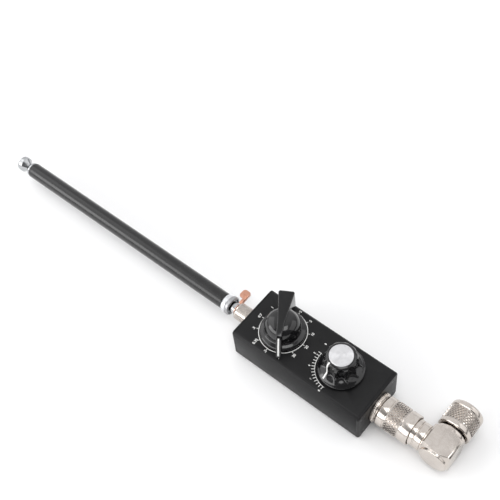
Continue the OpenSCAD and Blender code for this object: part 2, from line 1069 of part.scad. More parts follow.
module socket_insulator() {
    inside = inner_half_length - socket_flange_thickness;
    color(white_plastic)
        at_line()
            tube_x(inside, socket_seat, socket_bore - 0.02, contact_radius + 0.02);
}

module socket_contact() {
    inside = inner_half_length - socket_flange_thickness;
    color(brass)
        at_line()
            difference() {
                union() {
                    rod_x(inside, socket_mouth - 3, contact_radius);
                    rod_x(inside - 5, inside, 1.5);
                }
                rod_x(half_length + 2, socket_mouth, contact_bore);
            }
}

// Elbow ------------------------------------------------------------------

module elbow_block() {
    side = elbow_half;
    flat = elbow_half - edge_bevel;
    intersection() {
        translate([0, block_back, 0])
            rotate([90, 0, 0])
                linear_extrude(height = block_front + block_back)
                    polygon([
                        [side, flat], [flat, side], [-flat, side],
                        [-side, flat], [-side, -flat], [-flat, -side],
                        [flat, -side], [side, -flat]
                    ]);
        rotate([-90, 0, 0])
            rotate_extrude()
                polygon([
                    [0, -block_front], [end_disc_radius - 0.6, -block_front],
                    [end_disc_radius, -block_front + 0.4],
                    [end_disc_radius, -block_front + 1.7],
                    [turned_radius, -block_front + 1.7 + turned_run],
                    [turned_radius, block_back - turned_run],
                    [end_disc_radius, block_back], [0, block_back]
                ]);
    }
}

module elbow_socket_arm() {
    rotate([0, 90, 0])
        rotate_extrude()
            polygon([
                [0, nose_tip_x], [nose_radius, nose_tip_x],
                [nose_radius, socket_lip_front - 2.2],
                [shoulder_radius, socket_lip_front - 2.2],
                [shoulder_radius, socket_lip_front - 0.3],
                [under_lip_radius, socket_lip_front - 0.3],
                [under_lip_radius, socket_lip_back + 0.5],
                [shoulder_radius, socket_lip_back + 0.5],
                [shoulder_radius, socket_nut_back + 2.4],
                [shoulder_radius - 0.4, socket_nut_back + 2.6],
                [shoulder_radius - 0.4, socket_nut_back + 3.1],
                [shoulder_radius, socket_nut_back + 3.3],
                [shoulder_radius, elbow_x - elbow_half - 0.8],
                [shoulder_radius - 0.5, elbow_x - elbow_half - 0.6],
                [shoulder_radius - 0.5, elbow_x], [0, elbow_x]
            ]);
}

module elbow_radio_arm() {
    rotate([-90, 0, 0])
        rotate_extrude()
            polygon([
                [0, 0], [7, 0], [7, block_back - 0.2],
                [end_disc_radius, block_back - 0.2],
                [end_disc_radius, radio_flange_front - 0.3],
                [end_disc_radius - 0.3, radio_flange_front],
                [7, radio_flange_front], [7, radio_lip_back - 0.4],
                [under_lip_radius, radio_lip_back - 0.4],
                [under_lip_radius, radio_lip_front + 0.3],
                [shoulder_radius, radio_lip_front + 0.3],
                [shoulder_radius, radio_shoulder_front],
                [nose_radius, radio_shoulder_front],
                [nose_radius, radio_nose_tip], [0, radio_nose_tip]
            ]);
}

module elbow_body() {
    color(nickel)
        difference() {
            union() {
                at_radio() {
                    elbow_block();
                    elbow_radio_arm();
                }
                at_line()
                    elbow_socket_arm();
            }
            at_line()
                rod_x(nose_tip_x - 1, elbow_x, core_bore);
            at_radio()
                rod_y(-core_bore - 0.7, radio_nose_tip + 1, core_bore);
        }
}

module elbow_inner_insulator() {
    color(white_plastic)
        at_line()
            tube_x(nose_tip_x + 6.6, elbow_x - core_bore - 0.4, core_bore - 0.02,
                pin_radius + 0.02);
}

module elbow_inner_pin() {
    color(brass)
        at_line() {
            rod_x(half_length + 6.5, elbow_x - pin_radius, pin_radius);
            translate([half_length + 5.5, 0, 0])
                rotate([0, 90, 0])
                    cylinder(r1 = pin_radius - 1, r2 = pin_radius, h = 1 + tiny);
        }
}

module elbow_outer_insulator() {
    color(white_plastic)
        at_radio()
            difference() {
                rod_y(core_bore + 0.4, radio_nose_tip - 0.6, core_bore - 0.02);
                rod_y(0, radio_nose_tip + 1, pin_radius + 0.02);
            }
}

module elbow_outer_pin() {
    color(brass)
        at_radio() {
            rod_y(-pin_radius - 0.5, radio_reach - 1.2, pin_radius);
            translate([0, radio_reach - 1.2 - tiny, 0])
                rotate([-90, 0, 0])
                    cylinder(r1 = pin_radius, r2 = pin_radius - 1, h = 1);
        }
}

// Grooved cutters that make the gripping teeth on a coupling nut about Z
module knurl_teeth(radius, from_z, to_z) {
    for (i = [0 : knurl_count - 1])
        rotate([0, 0, i * 360 / knurl_count])
            translate([radius, 0, from_z])
                rotate([0, 0, 45])
                    translate([-knurl_cut / 2, -knurl_cut / 2, 0])
                        cube([knurl_cut, knurl_cut, to_z - from_z]);
}

module coupling_nut_socket() {
    r = socket_nut_radius;
    a = socket_nut_front;
    b = socket_nut_back;
    grip_front = a + 5.1;
    grip_back = b - 6.3;
    color(nickel)
        at_line()
            rotate([0, 90, 0])
                difference() {
                    rotate_extrude()
                        polygon([
                            [nut_bore, a], [r - 0.5, a], [r, a + 0.7],
                            [r, grip_front - groove_length],
                            [r - groove_depth, grip_front - groove_length],
                            [r - groove_depth, grip_front],
                            [r, grip_front], [r, grip_back],
                            [r - groove_depth, grip_back],
                            [r - groove_depth, grip_back + groove_length],
                            [r, grip_back + groove_length],
                            [r, b - 0.3], [r - 0.3, b],
                            [nut_bore + 0.2, b],
                            [nut_bore, socket_lip_back],
                            [lip_bore, socket_lip_back],
                            [lip_bore, socket_lip_front],
                            [nut_bore, socket_lip_front]
                        ]);
                    knurl_teeth(r, grip_front - 0.3, grip_back + 0.3);
                }
}

module coupling_nut_radio() {
    r = radio_nut_radius;
    a = radio_nut_back;
    b = radio_reach;
    grip_back = a + 3;
    grip_front = b - 3.6;
    color(nickel)
        at_radio()
            rotate([-90, 0, 0])
                difference() {
                    rotate_extrude()
                        polygon([
                            [nut_bore, a], [r - 0.4, a], [r, a + 0.4],
                            [r, grip_back - groove_length],
                            [r - groove_depth, grip_back - groove_length],
                            [r - groove_depth, grip_back],
                            [r, grip_back], [r, b - 2.6],
                            [r - 0.1, b - 1.6], [r - 0.4, b - 0.8],
                            [r - 0.8, b - 0.2], [r - 1.1, b],
                            [nut_bore, b], [nut_bore, radio_lip_front],
                            [lip_bore, radio_lip_front],
                            [lip_bore, radio_lip_back],
                            [nut_bore, radio_lip_back]
                        ]);
                    knurl_teeth(r, grip_back - 0.3, grip_front);
                }
}

// Whip base --------------------------------------------------------------

function boss_thread_end() = inner_half_length - 4;

module antenna_boss() {
    color(nickel)
        at_line()
            difference() {
                union() {
                    rod_x(-boss_end, -boss_foot, boss_radius);
                    rod_x(-boss_foot - 1, -boss_thread_end(), boss_thread_radius);
                }
                rod_x(-boss_end - 1, -boss_end + 4, stud_bore);
                for (i = [0 : 7])
                    translate([-boss_foot - 1.2 - i * 1.15, 0, 0])
                        tube_x(-0.3, 0.3, boss_radius + 1, boss_radius - 0.25);
            }
}

module antenna_bushing() {
    color(black_plastic)
        at_line() {
            tube_x(-half_length - 0.6, -half_length, boss_radius,
                boss_thread_radius + 0.03);
            tube_x(-half_length, -inner_half_length, antenna_bushing_hole,
                boss_thread_radius + 0.03);
            tube_x(-inner_half_length, -inner_half_length + 1.2, 6,
                boss_thread_radius + 0.03);
        }
}

module antenna_back_nut() {
    color(nickel)
        at_line()
            translate([-inner_half_length + 1.2, 0, 0])
                rotate([0, 90, 0])
                    difference() {
                        hex_prism(8, 2.2);
                        rod_z(-1, 4, boss_thread_radius + 0.03);
                    }
}

module antenna_stud() {
    color(steel)
        at_line()
            rod_x(-collar_end - 2.5, -boss_end + 3.8, stud_radius);
}

// Solder lug: a ring, an upright arm and a leaf folded back from its top
module antenna_lug() {
    arm_start = 2.8;
    color(copper)
        at_line()
            difference() {
                union() {
                    rod_x(-lug_end, -boss_end, lug_radius);
                    translate([-lug_end, arm_start, 1])
                        cube([lug_end - boss_end, leaf_end - arm_start - 0.6, leaf_top - 1]);
                    translate([-boss_end - 1.8, arm_start, leaf_top - leaf_thickness])
                        cube([1.8, leaf_start - arm_start + 1, leaf_thickness]);
                    translate([-boss_end, 0, leaf_top - leaf_thickness])
                        linear_extrude(height = leaf_thickness)
                            lug_leaf();
                }
                rod_x(-lug_end - 1, -boss_end + 1, stud_bore);
            }
}

// Plan of the leaf, with its back corners round
module lug_leaf() {
    reach = leaf_corner - leaf_length;
    polygon(concat(
        [[0, leaf_start], [0, leaf_end - 0.6]],
        [for (a = [90 : 15 : 180])
            [reach, leaf_end - leaf_corner] + leaf_corner * [cos(a), sin(a)]],
        [for (a = [180 : 15 : 270])
            [reach, leaf_start + leaf_corner] + leaf_corner * [cos(a), sin(a)]]
    ));
}

module antenna_washer() {
    color(steel)
        at_line()
            tube_x(-washer_end, -lug_end, washer_radius, stud_bore);
}

// Cupped nut, its open side to the case
module whip_base_nut() {
    rim = washer_end - cup_depth;
    color(steel)
        at_line()
            rotate([0, -90, 0])
                rotate_extrude()
                    polygon([
                        [stud_bore, washer_end], [cup_radius, washer_end],
                        [cup_radius, rim], [base_nut_radius - 0.5, rim],
                        [base_nut_radius, rim + 0.5],
                        [base_nut_radius, base_nut_end - 0.4],
                        [base_nut_radius - 0.4, base_nut_end],
                        [stud_bore, base_nut_end]
                    ]);
}

module whip_collar() {
    bore = whip_radius - section_wall;
    color(silver)
        at_line()
            rotate([0, -90, 0])
                rotate_extrude()
                    polygon([
                        [stud_bore, base_nut_end], [5.2, base_nut_end],
                        [5.6, base_nut_end + 0.4], [5.6, collar_end - 1],
                        [whip_radius + grip_thickness + 0.1, collar_end],
                        [bore - 0.02, collar_end],
                        [bore - 0.02, collar_end + plug_length],
                        [0, collar_end + plug_length],
                        [0, collar_end + 2.6], [stud_bore, collar_end + 2.6]
                    ]);
}

// Whip -------------------------------------------------------------------

function section_radius(k) = whip_radius - (k - 1) * section_step;
function section_bore(k) = section_radius(k) - section_wall;
function section_top(k) = whip_end + (k - 1) * section_peek;
function section_foot(k) = section_start + (k - 2) * section_stagger;

module whip_sleeve() {
    color(black_plastic)
        at_line()
            tube_x(-collar_end - grip_length, -collar_end,
                whip_radius + grip_thickness, whip_radius + 0.02);
}

// Tube k, with a guide ring at its foot and a crimped mouth at its top
module whip_section(k) {
    radius = section_radius(k);
    bore = section_bore(k);
    top = section_top(k);
    foot = k == 1 ? collar_end : section_foot(k);
    guide = k == 1 ? radius : section_bore(k - 1) - slide_gap;
    color(silver)
        at_line()
            rotate([0, -90, 0])
                rotate_extrude()
                    polygon([
                        [bore, foot], [guide, foot],
                        [guide, foot + guide_length],
                        [radius, foot + guide_length], [radius, top - 0.3],
                        [radius - 0.15, top],
                        [section_radius(k + 1) + slide_gap, top],
                        [section_radius(k + 1) + slide_gap, top - mouth_length],
                        [bore, top - mouth_length]
                    ]);
}

module whip_tube_1() {
    whip_section(1);
}

module whip_tube_2() {
    whip_section(2);
}

module whip_tube_3() {
    whip_section(3);
}

module whip_tube_4() {
    whip_section(4);
}

module whip_tube_5() {
    whip_section(5);
}

module whip_tube_6() {
    whip_section(6);
}

module whip_rod() {
    radius = section_radius(section_count);
    guide = section_bore(section_count - 1) - slide_gap;
    foot = section_foot(section_count);
    dome = [for (a = [0 : 10 : 80]) [tip_radius * pow(cos(a), 0.6), tip_start + tip_length
        - tip_dome + tip_dome * sin(a)]];
    color(silver)
        at_line()
            rotate([0, -90, 0])
                rotate_extrude()
                    polygon(concat([
                        [0, foot], [guide, foot], [guide, foot + guide_length],
                        [radius, foot + guide_length], [radius, tip_start],
                        [2.3, tip_start], [tip_radius - 0.4, tip_start + tip_neck],
                        [tip_radius, tip_start + tip_neck + 0.5]
                    ], dome, [[0, tip_start + tip_length]]));
}

// Draw the chosen sub-part -------------------------------------------------

case_body();
case_top();
end_plate_antenna();
end_plate_connector();
end_plate_screws();
band_knob();
band_pointer_line();
band_set_screw();
switch_housing();
switch_washer();
switch_nut();
switch_shaft();
switch_rotor();
switch_terminals();
switch_detent();
tuning_knob();
tuning_cap();
tuning_pointer_line();
tuning_set_screw();
capacitor_housing();
capacitor_screws();
capacitor_shaft();
capacitor_rotor();
capacitor_stator();
capacitor_wiper();
circuit_board();
board_posts();
board_screws();
toroid_core();
toroid_winding();
disc_capacitors();
axial_coils();
hookup_wires();
socket_body();
socket_ring_nut();
socket_insulator();
socket_contact();
elbow_body();
elbow_inner_insulator();
elbow_inner_pin();
elbow_outer_insulator();
elbow_outer_pin();
coupling_nut_socket();
coupling_nut_radio();
antenna_boss();
antenna_bushing();
antenna_back_nut();
antenna_stud();
antenna_lug();
antenna_washer();
whip_base_nut();
whip_collar();
whip_sleeve();
whip_tube_1();
whip_tube_2();
whip_tube_3();
whip_tube_4();
whip_tube_5();
whip_tube_6();
whip_rod();
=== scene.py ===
import math
import bmesh
import bpy
from mathutils import Matrix, Vector


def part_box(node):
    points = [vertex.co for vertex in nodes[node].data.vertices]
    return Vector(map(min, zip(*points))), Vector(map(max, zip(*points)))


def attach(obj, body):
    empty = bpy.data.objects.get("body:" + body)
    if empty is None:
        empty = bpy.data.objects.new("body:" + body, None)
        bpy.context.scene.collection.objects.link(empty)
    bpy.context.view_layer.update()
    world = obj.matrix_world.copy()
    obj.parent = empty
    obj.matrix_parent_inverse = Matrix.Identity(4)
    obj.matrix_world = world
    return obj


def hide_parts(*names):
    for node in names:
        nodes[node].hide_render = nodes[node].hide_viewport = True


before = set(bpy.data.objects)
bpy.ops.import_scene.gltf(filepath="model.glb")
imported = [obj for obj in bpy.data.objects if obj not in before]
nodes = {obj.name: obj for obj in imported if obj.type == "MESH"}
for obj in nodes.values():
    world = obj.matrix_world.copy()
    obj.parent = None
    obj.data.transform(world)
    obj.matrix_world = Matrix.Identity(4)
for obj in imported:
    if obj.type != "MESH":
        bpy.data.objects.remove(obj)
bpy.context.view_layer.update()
mm = 0.001
chassis = "chassis"
print("frame loaded:", len(nodes), "nodes")


# Small helpers for node trees, places and meshes

def put(tree, kind, values=None, **settings):
    node = tree.nodes.new(kind)
    for key, value in settings.items():
        setattr(node, key, value)
    for key, value in (values or {}).items():
        if isinstance(value, bpy.types.NodeSocket):
            tree.links.new(value, node.inputs[key])
        else:
            node.inputs[key].default_value = value
    return node


def maths(tree, operation, *values):
    return put(tree, "ShaderNodeMath", dict(enumerate(values)), operation=operation).outputs[0]


def middle(node):
    low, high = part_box(node)
    return (low + high) / 2 / mm


def edges(node):
    low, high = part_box(node)
    return low / mm, high / mm


def placed(name, data):
    item = bpy.data.objects.new(name, data)
    bpy.context.scene.collection.objects.link(item)
    return item


def meshObject(name, points, faces, material=None, sharpAngle=32):
    mesh = bpy.data.meshes.new(name)
    mesh.from_pydata([Vector(p) * mm for p in points], [], faces)
    shape = bmesh.new()
    shape.from_mesh(mesh)
    bmesh.ops.remove_doubles(shape, verts=shape.verts, dist=1e-7)
    bmesh.ops.recalc_face_normals(shape, faces=shape.faces)
    shape.to_mesh(mesh)
    shape.free()
    piece = placed(name, mesh)
    if material:
        mesh.materials.append(material)
    smooth(piece, sharpAngle)
    return piece


def smooth(piece, sharpAngle=32):
    piece.data.shade_smooth()
    piece.data.set_sharp_from_angle(angle=math.radians(sharpAngle))


def softCorners(profile, radius, closed=False, steps=3, straight=8):
    # rounds each corner of a profile by about the radius, but leaves turns of a few degrees
    count = len(profile)
    rounded = []
    for i, point in enumerate(profile):
        here = Vector(point)
        before = Vector(profile[i - 1]) - here
        after = Vector(profile[(i + 1) % count]) - here
        loose = not closed and i in (0, count - 1)
        if loose or before.angle(-after) < math.radians(straight):
            rounded.append(tuple(here))
            continue
        reach = min(radius, before.length * 0.45, after.length * 0.45)
        start = here + before.normalized() * reach
        end = here + after.normalized() * reach
        for k in range(steps + 1):
            t = k / steps
            rounded.append(tuple(start * (1 - t) ** 2 + here * 2 * t * (1 - t) + end * t ** 2))
    return rounded


aroundAxis = {
    "X": lambda r, a, s: (s, r * math.cos(a), r * math.sin(a)),
    "Y": lambda r, a, s: (r * math.sin(a), s, r * math.cos(a)),
    "Z": lambda r, a, s: (r * math.cos(a), r * math.sin(a), s),
}


def lathe(name, profile, axis, centre=(0, 0, 0), material=None, segments=128,
          closed=False, sharpAngle=32):
    # turns (radius, along) points round an axis through centre; closed joins the last to the first
    points, rings = [], []
    for radius, along in profile:
        if radius < 1e-6:
            rings.append([len(points)])
            points.append(aroundAxis[axis](0, 0, along))
        else:
            rings.append(list(range(len(points), len(points) + segments)))
            for k in range(segments):
                points.append(aroundAxis[axis](radius, 2 * math.pi * k / segments, along))
    faces = []
    pairs = list(zip(rings, rings[1:]))
    if closed:
        pairs.append((rings[-1], rings[0]))
    for first, second in pairs:
        for k in range(segments if len(first) + len(second) > 2 else 0):
            n = (k + 1) % segments
            corners = (first[k % len(first)], first[n % len(first)],
                       second[n % len(second)], second[k % len(second)])
            faces.append(tuple(dict.fromkeys(corners)))    # three corners beside the axis
    points = [Vector(p) + Vector(centre) for p in points]
    return meshObject(name, points, faces, material, sharpAngle)


def tube(outer, inner, start, end, soft=0.15):
    # closed profile of a plain ring or sleeve
    return softCorners([(outer, start), (outer, end), (inner, end), (inner, start)], soft, True)


def quarterTurn(steps):
    # cosine and sine at even steps over a quarter of a turn
    return [(math.cos(a), math.sin(a)) for a in [math.pi / 2 * k / steps for k in range(steps + 1)]]


def loft(name, rings, material, sharpAngle=32, ends=True):
    # a skin through matching rings of points, side faces first, then the two ends
    count, last = len(rings[0]), len(rings) - 1
    faces = [(i * count + k, i * count + (k + 1) % count,
              (i + 1) * count + (k + 1) % count, (i + 1) * count + k)
             for i in range(last) for k in range(count)]
    if ends:
        faces += [tuple(range(count)), tuple(reversed(range(last * count, (last + 1) * count)))]
    points = [point for ring in rings for point in ring]
    return meshObject(name, points, faces, material, sharpAngle)


def boxObject(name, low, high, material=None, bevel=0.0):
    xs, ys, zs = zip(low, high)
    points = [(x, y, z) for x in xs for y in ys for z in zs]
    faces = [(0, 1, 3, 2), (4, 6, 7, 5), (0, 4, 5, 1), (2, 3, 7, 6), (0, 2, 6, 4), (1, 5, 7, 3)]
    piece = meshObject(name, points, faces, material)
    if bevel:
        addBevel(piece, bevel)
    return piece


def addBevel(piece, width, steps=3, angle=35):
    bevel = piece.modifiers.new("edges", "BEVEL")
    bevel.width = width * mm
    bevel.segments = steps
    bevel.limit_method = "ANGLE"
    bevel.angle_limit = math.radians(angle)
    bevel.harden_normals = True
    settle(piece)


def settle(piece, sharpAngle=32):
    # turns the evaluated shape into a plain mesh and drops the modifiers
    bpy.context.view_layer.update()
    seen = piece.evaluated_get(bpy.context.evaluated_depsgraph_get())
    mesh = bpy.data.meshes.new_from_object(seen)
    piece.modifiers.clear()
    piece.data = mesh
    for slot in reversed(range(len(mesh.materials))):
        if mesh.materials[slot] is None:
            mesh.materials.pop(index=slot)
    smooth(piece, sharpAngle)


def cut(piece, tool, operation="DIFFERENCE"):
    change = piece.modifiers.new("cut", "BOOLEAN")
    change.operation = operation
    change.solver = "EXACT"
    change.object = tool
    settle(piece)
    bpy.data.objects.remove(tool)


def joined(name, pieces):
    # one object out of several finished ones, each keeping its own material
    shape = bmesh.new()
    mesh = bpy.data.meshes.new(name)
    for piece in pieces:
        slots = []
        for material in piece.data.materials:
            if material.name not in mesh.materials:
                mesh.materials.append(material)
            slots.append(list(mesh.materials).index(material))
        first = len(shape.faces)
        shape.from_mesh(piece.data)
        shape.faces.ensure_lookup_table()
        for face in shape.faces[first:]:
            face.material_index = slots[face.material_index] if slots else 0
    shape.to_mesh(mesh)
    shape.free()
    whole = placed(name, mesh)
    for piece in pieces:
        bpy.data.objects.remove(piece)
    return whole


def finish(piece, body, slot, *standsFor):
    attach(piece, body)
    if standsFor:
        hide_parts(*standsFor)


# Materials: each one is a Principled surface with its own noise, wear and bump

def newSurface(name, constants):
    material = bpy.data.materials.new(name)
    material.use_nodes = True
    tree = material.node_tree
    shader = tree.nodes["Principled BSDF"]
    for key, value in constants.items():
        shader.inputs[key].default_value = value
    return material, tree, shader


def spread(tree, scale=(1, 1, 1), centre=(0, 0, 0)):
    # object coordinates in millimetres, centred on a piece
    place = put(tree, "ShaderNodeTexCoord")
    return put(tree, "ShaderNodeMapping", {
        "Vector": place.outputs["Object"],
        "Location": tuple(-c * s for c, s in zip(centre, scale)),
        "Scale": tuple(1000 * s for s in scale),
    }).outputs["Vector"]


def noise(tree, vector, scale, detail=4.0, roughness=0.5, distortion=0.0):
    return put(tree, "ShaderNodeTexNoise", {
        "Vector": vector, "Scale": scale, "Detail": detail,
        "Roughness": roughness, "Distortion": distortion,
    }).outputs["Fac"]


def between(tree, factor, low, high, start, end):
    return put(tree, "ShaderNodeMapRange", {
        "Value": factor, "From Min": start, "From Max": end, "To Min": low, "To Max": high,
    }).outputs["Result"]


def colours(tree, factor, stops):
    ramp = put(tree, "ShaderNodeValToRGB", {"Fac": factor})
    marks = ramp.color_ramp.elements
    while len(marks) < len(stops):
        marks.new(0.5)
    for mark, (place, colour) in zip(marks, stops):
        mark.position = place
        mark.color = (*colour, 1)
    return ramp.outputs["Color"]


def addFactors(tree, first, second, share=0.5):
    return maths(tree, "ADD", first, maths(tree, "MULTIPLY", second, share))


def bump(tree, shader, height, distance, strength):
    relief = put(tree, "ShaderNodeBump", {
        "Height": height, "Distance": distance * mm, "Strength": strength,
    })
    tree.links.new(relief.outputs["Normal"], shader.inputs["Normal"])


def tintAndWear(tree, shader, tint, stops, wear, roughness):
    # the colour follows one factor and the roughness another
    tree.links.new(colours(tree, tint, stops), shader.inputs["Base Color"])
    tree.links.new(between(tree, wear, *roughness), shader.inputs["Roughness"])


def paintedMetal(name, dark, light, roughLow, roughHigh, grain):
    # satin paint: fine grain, broad unevenness and a little dust
    material, tree, shader = newSurface(name, {"Metallic": 0.0, "Specular IOR Level": 0.24})
    place = spread(tree)
    fine = noise(tree, place, grain, 3.0, 0.55)
    broad = noise(tree, place, 0.09, 4.0, 0.6, 0.4)
    dust = noise(tree, place, 0.9, 6.0, 0.7)
    tintAndWear(tree, shader, addFactors(tree, broad, dust, 0.25), [(0.35, dark), (0.85, light)],
                addFactors(tree, broad, dust), (roughLow, roughHigh, 0.45, 1.0))
    bump(tree, shader, addFactors(tree, fine, dust, 0.4), 0.03, 0.55)
    return material


def turnedMetal(name, dark, light, roughLow, roughHigh, axis="X", ringScale=5.0, ringHeight=0.006):
    # fine rings left by the lathe, faint stains and handling marks
    material, tree, shader = newSurface(name, {"Metallic": 1.0})
    place = spread(tree)
    along = {"X": (1, 0.02, 0.02), "Y": (0.02, 1, 0.02), "Z": (0.02, 0.02, 1)}[axis]
    rings = noise(tree, spread(tree, along), ringScale, 3.0, 0.6)
    stains = noise(tree, place, 0.22, 5.0, 0.62, 0.5)
    specks = noise(tree, place, 2.6, 5.0, 0.7)
    tintAndWear(tree, shader, addFactors(tree, stains, specks, 0.3), [(0.42, dark), (0.82, light)],
                addFactors(tree, stains, rings, 0.6), (roughLow, roughHigh, 0.5, 1.1))
    bump(tree, shader, addFactors(tree, rings, specks, 0.25), ringHeight, 0.6)
    return material


def mouldedPlastic(name, dark, light, roughLow, roughHigh, coat=0.0, grain=6.0, height=0.01,
                   shine=0.4):
    # moulded surface: broad flow marks, a fine grain and a thin gloss where it has one
    material, tree, shader = newSurface(name, {
        "Metallic": 0.0, "Coat Weight": coat, "Coat Roughness": 0.06, "Specular IOR Level": shine})
    place = spread(tree)
    broad = noise(tree, place, 0.16, 4.0, 0.55, 0.3)
    fine = noise(tree, place, grain, 4.0, 0.6)
    tintAndWear(tree, shader, addFactors(tree, broad, fine, 0.3), [(0.4, dark), (0.9, light)],
                addFactors(tree, broad, fine), (roughLow, roughHigh, 0.45, 1.0))
    bump(tree, shader, addFactors(tree, fine, broad, 0.6), height, 0.5)
    return material


# Finishes named for this tuner's own pieces: dark and light tone, roughness range, then
# the paint's grain, or the metal's lathe axis and rings, or the plastic's gloss, grain and depth

caseBlack = paintedMetal(
    "caseBlack", (0.0042, 0.0042, 0.0046), (0.0095, 0.0095, 0.0100), 0.34, 0.50, 7.0)

nickelTones = ((0.57, 0.52, 0.475), (0.66, 0.61, 0.565), 0.14, 0.24)
nickelAlongX = turnedMetal("nickelAlongX", *nickelTones, "X")
nickelAlongY = turnedMetal("nickelAlongY", *nickelTones, "Y")
# darker nickel for the knurl's core: painted shade in the grooves between the diamonds
knurlShade = turnedMetal(
    "knurlShade", (0.32, 0.295, 0.27), (0.48, 0.44, 0.41), 0.34, 0.48, "X", 7.0)
zincCollar = turnedMetal(
    "zincCollar", (0.70, 0.71, 0.73), (0.88, 0.89, 0.91), 0.20, 0.38, "X", 6.0)
cupGrey = turnedMetal(
    "cupGrey", (0.33, 0.33, 0.34), (0.50, 0.50, 0.51), 0.34, 0.52, "X", 4.0)
chromeTube = turnedMetal(
    "chromeTube", (0.40, 0.41, 0.42), (0.54, 0.55, 0.56), 0.10, 0.22, "X", 3.0, 0.003)
screwSteel = turnedMetal(
    "screwSteel", (0.30, 0.30, 0.32), (0.50, 0.50, 0.52), 0.26, 0.44, "Z", 7.0)
screwBlack = turnedMetal(
    "screwBlack", (0.030, 0.030, 0.032), (0.075, 0.075, 0.078), 0.30, 0.46, "X", 7.0)
copperTongue = turnedMetal(
    "copperTongue", (0.56, 0.26, 0.17), (0.72, 0.42, 0.32), 0.22, 0.42, "Z", 2.0)
copperWire = turnedMetal(
    "copperWire", (0.55, 0.21, 0.09), (0.78, 0.36, 0.20), 0.20, 0.36, "Z", 3.0)
brassPin = turnedMetal(
    "brassPin", (0.66, 0.47, 0.20), (0.83, 0.66, 0.34), 0.20, 0.36, "Y", 5.0)
brassInside = turnedMetal(
    "brassInside", (0.62, 0.45, 0.20), (0.80, 0.63, 0.33), 0.24, 0.40, "Z", 5.0)
silverPlate = turnedMetal(
    "silverPlate", (0.66, 0.66, 0.65), (0.86, 0.86, 0.85), 0.18, 0.36, "Z", 4.0)

knobBlack = mouldedPlastic(
    "knobBlack", (0.0030, 0.0030, 0.0034), (0.0070, 0.0070, 0.0075), 0.10, 0.22, 0.5, 3.0, 0.006)
knobTopBlack = mouldedPlastic(
    "knobTopBlack", (0.007, 0.007, 0.0075), (0.014, 0.014, 0.0145), 0.44, 0.60, 0.0, 8.0, 0.02,
    0.25)
sleeveBlack = mouldedPlastic(
    "sleeveBlack", (0.0045, 0.0045, 0.0050), (0.0110, 0.0110, 0.0115), 0.18, 0.32, 0.3, 1.6, 0.02)
inkWhite = mouldedPlastic(
    "inkWhite", (0.78, 0.78, 0.76), (0.92, 0.92, 0.90), 0.42, 0.60, 0.0, 9.0, 0.01)
dielectricWhite = mouldedPlastic(
    "dielectricWhite", (0.80, 0.80, 0.78), (0.92, 0.92, 0.91), 0.36, 0.52, 0.0, 4.0, 0.02)
switchBrown = mouldedPlastic(
    "switchBrown", (0.14, 0.06, 0.03), (0.30, 0.15, 0.08), 0.34, 0.52, 0.1, 5.0, 0.02)
boardGreen = mouldedPlastic(
    "boardGreen", (0.01, 0.10, 0.045), (0.02, 0.19, 0.08), 0.30, 0.46, 0.3, 3.0, 0.02)
coreYellow = mouldedPlastic(
    "coreYellow", (0.55, 0.42, 0.06), (0.80, 0.66, 0.15), 0.40, 0.58, 0.0, 5.0, 0.04)
ceramicOrange = mouldedPlastic(
    "ceramicOrange", (0.60, 0.22, 0.03), (0.85, 0.40, 0.09), 0.22, 0.40, 0.4, 3.0, 0.02)
wireOrange = mouldedPlastic(
    "wireOrange", (0.62, 0.10, 0.02), (0.80, 0.18, 0.05), 0.30, 0.46, 0.1, 3.0, 0.02)


def spunFace(name, centre):
    # concentric marks on the flat face of the tuning knob's cap
    material, tree, shader = newSurface(name, {"Metallic": 0.85, "Anisotropic": 0.8})
    place = spread(tree, (1, 1, 0), centre)
    radius = put(tree, "ShaderNodeVectorMath", {0: place}, operation="LENGTH").outputs["Value"]
    rings = put(tree, "ShaderNodeTexNoise", {
        "W": radius, "Scale": 6.0, "Detail": 4.0, "Roughness": 0.7},
        noise_dimensions="1D").outputs["Fac"]
    mixed = addFactors(tree, rings, noise(tree, spread(tree), 0.5))
    tintAndWear(tree, shader, mixed, [(0.5, (0.60, 0.60, 0.61)), (0.9, (0.76, 0.76, 0.77))],
                mixed, (0.30, 0.46, 0.5, 1.0))
    bump(tree, shader, rings, 0.008, 0.6)
    grain = put(tree, "ShaderNodeTangent", direction_type="RADIAL", axis="Z").outputs["Tangent"]
    tree.links.new(grain, shader.inputs["Tangent"])
    return material


# Geometry Nodes trees

def newTree(name, *inputs):
    tree = bpy.data.node_groups.new(name, "GeometryNodeTree")
    tree.is_modifier = True
    tree.interface.new_socket(name="Geometry", in_out="INPUT", socket_type="NodeSocketGeometry")
    for label, kind, value in inputs:
        socket = tree.interface.new_socket(name=label, in_out="INPUT",
                                           socket_type="NodeSocket" + kind)
        if value is not None:
            socket.default_value = value
    tree.interface.new_socket(name="Geometry", in_out="OUTPUT", socket_type="NodeSocketGeometry")
    return tree, tree.nodes.new("NodeGroupInput").outputs, tree.nodes.new("NodeGroupOutput").inputs


def dressed(tree, geometry, finish):
    # real geometry in the piece's finish, which is how each tree ends
    real = put(tree, "GeometryNodeRealizeInstances", {0: geometry}).outputs[0]
    return put(tree, "GeometryNodeSetMaterial", {"Geometry": real, "Material": finish}).outputs[0]


def runTree(piece, tree, sharpAngle=32, **values):
    # grows the tree on the piece, then drops the shape that was copied
    grower = piece.modifiers.new(tree.name, "NODES")
    grower.node_group = tree
    for item in tree.interface.items_tree:
        key = item.name.replace(" ", "")
        key = key[0].lower() + key[1:]
        if item.in_out == "INPUT" and key in values:
            grower[item.identifier] = values[key]
    settle(piece, sharpAngle)
    if "shape" in values:
        bpy.data.objects.remove(values["shape"])


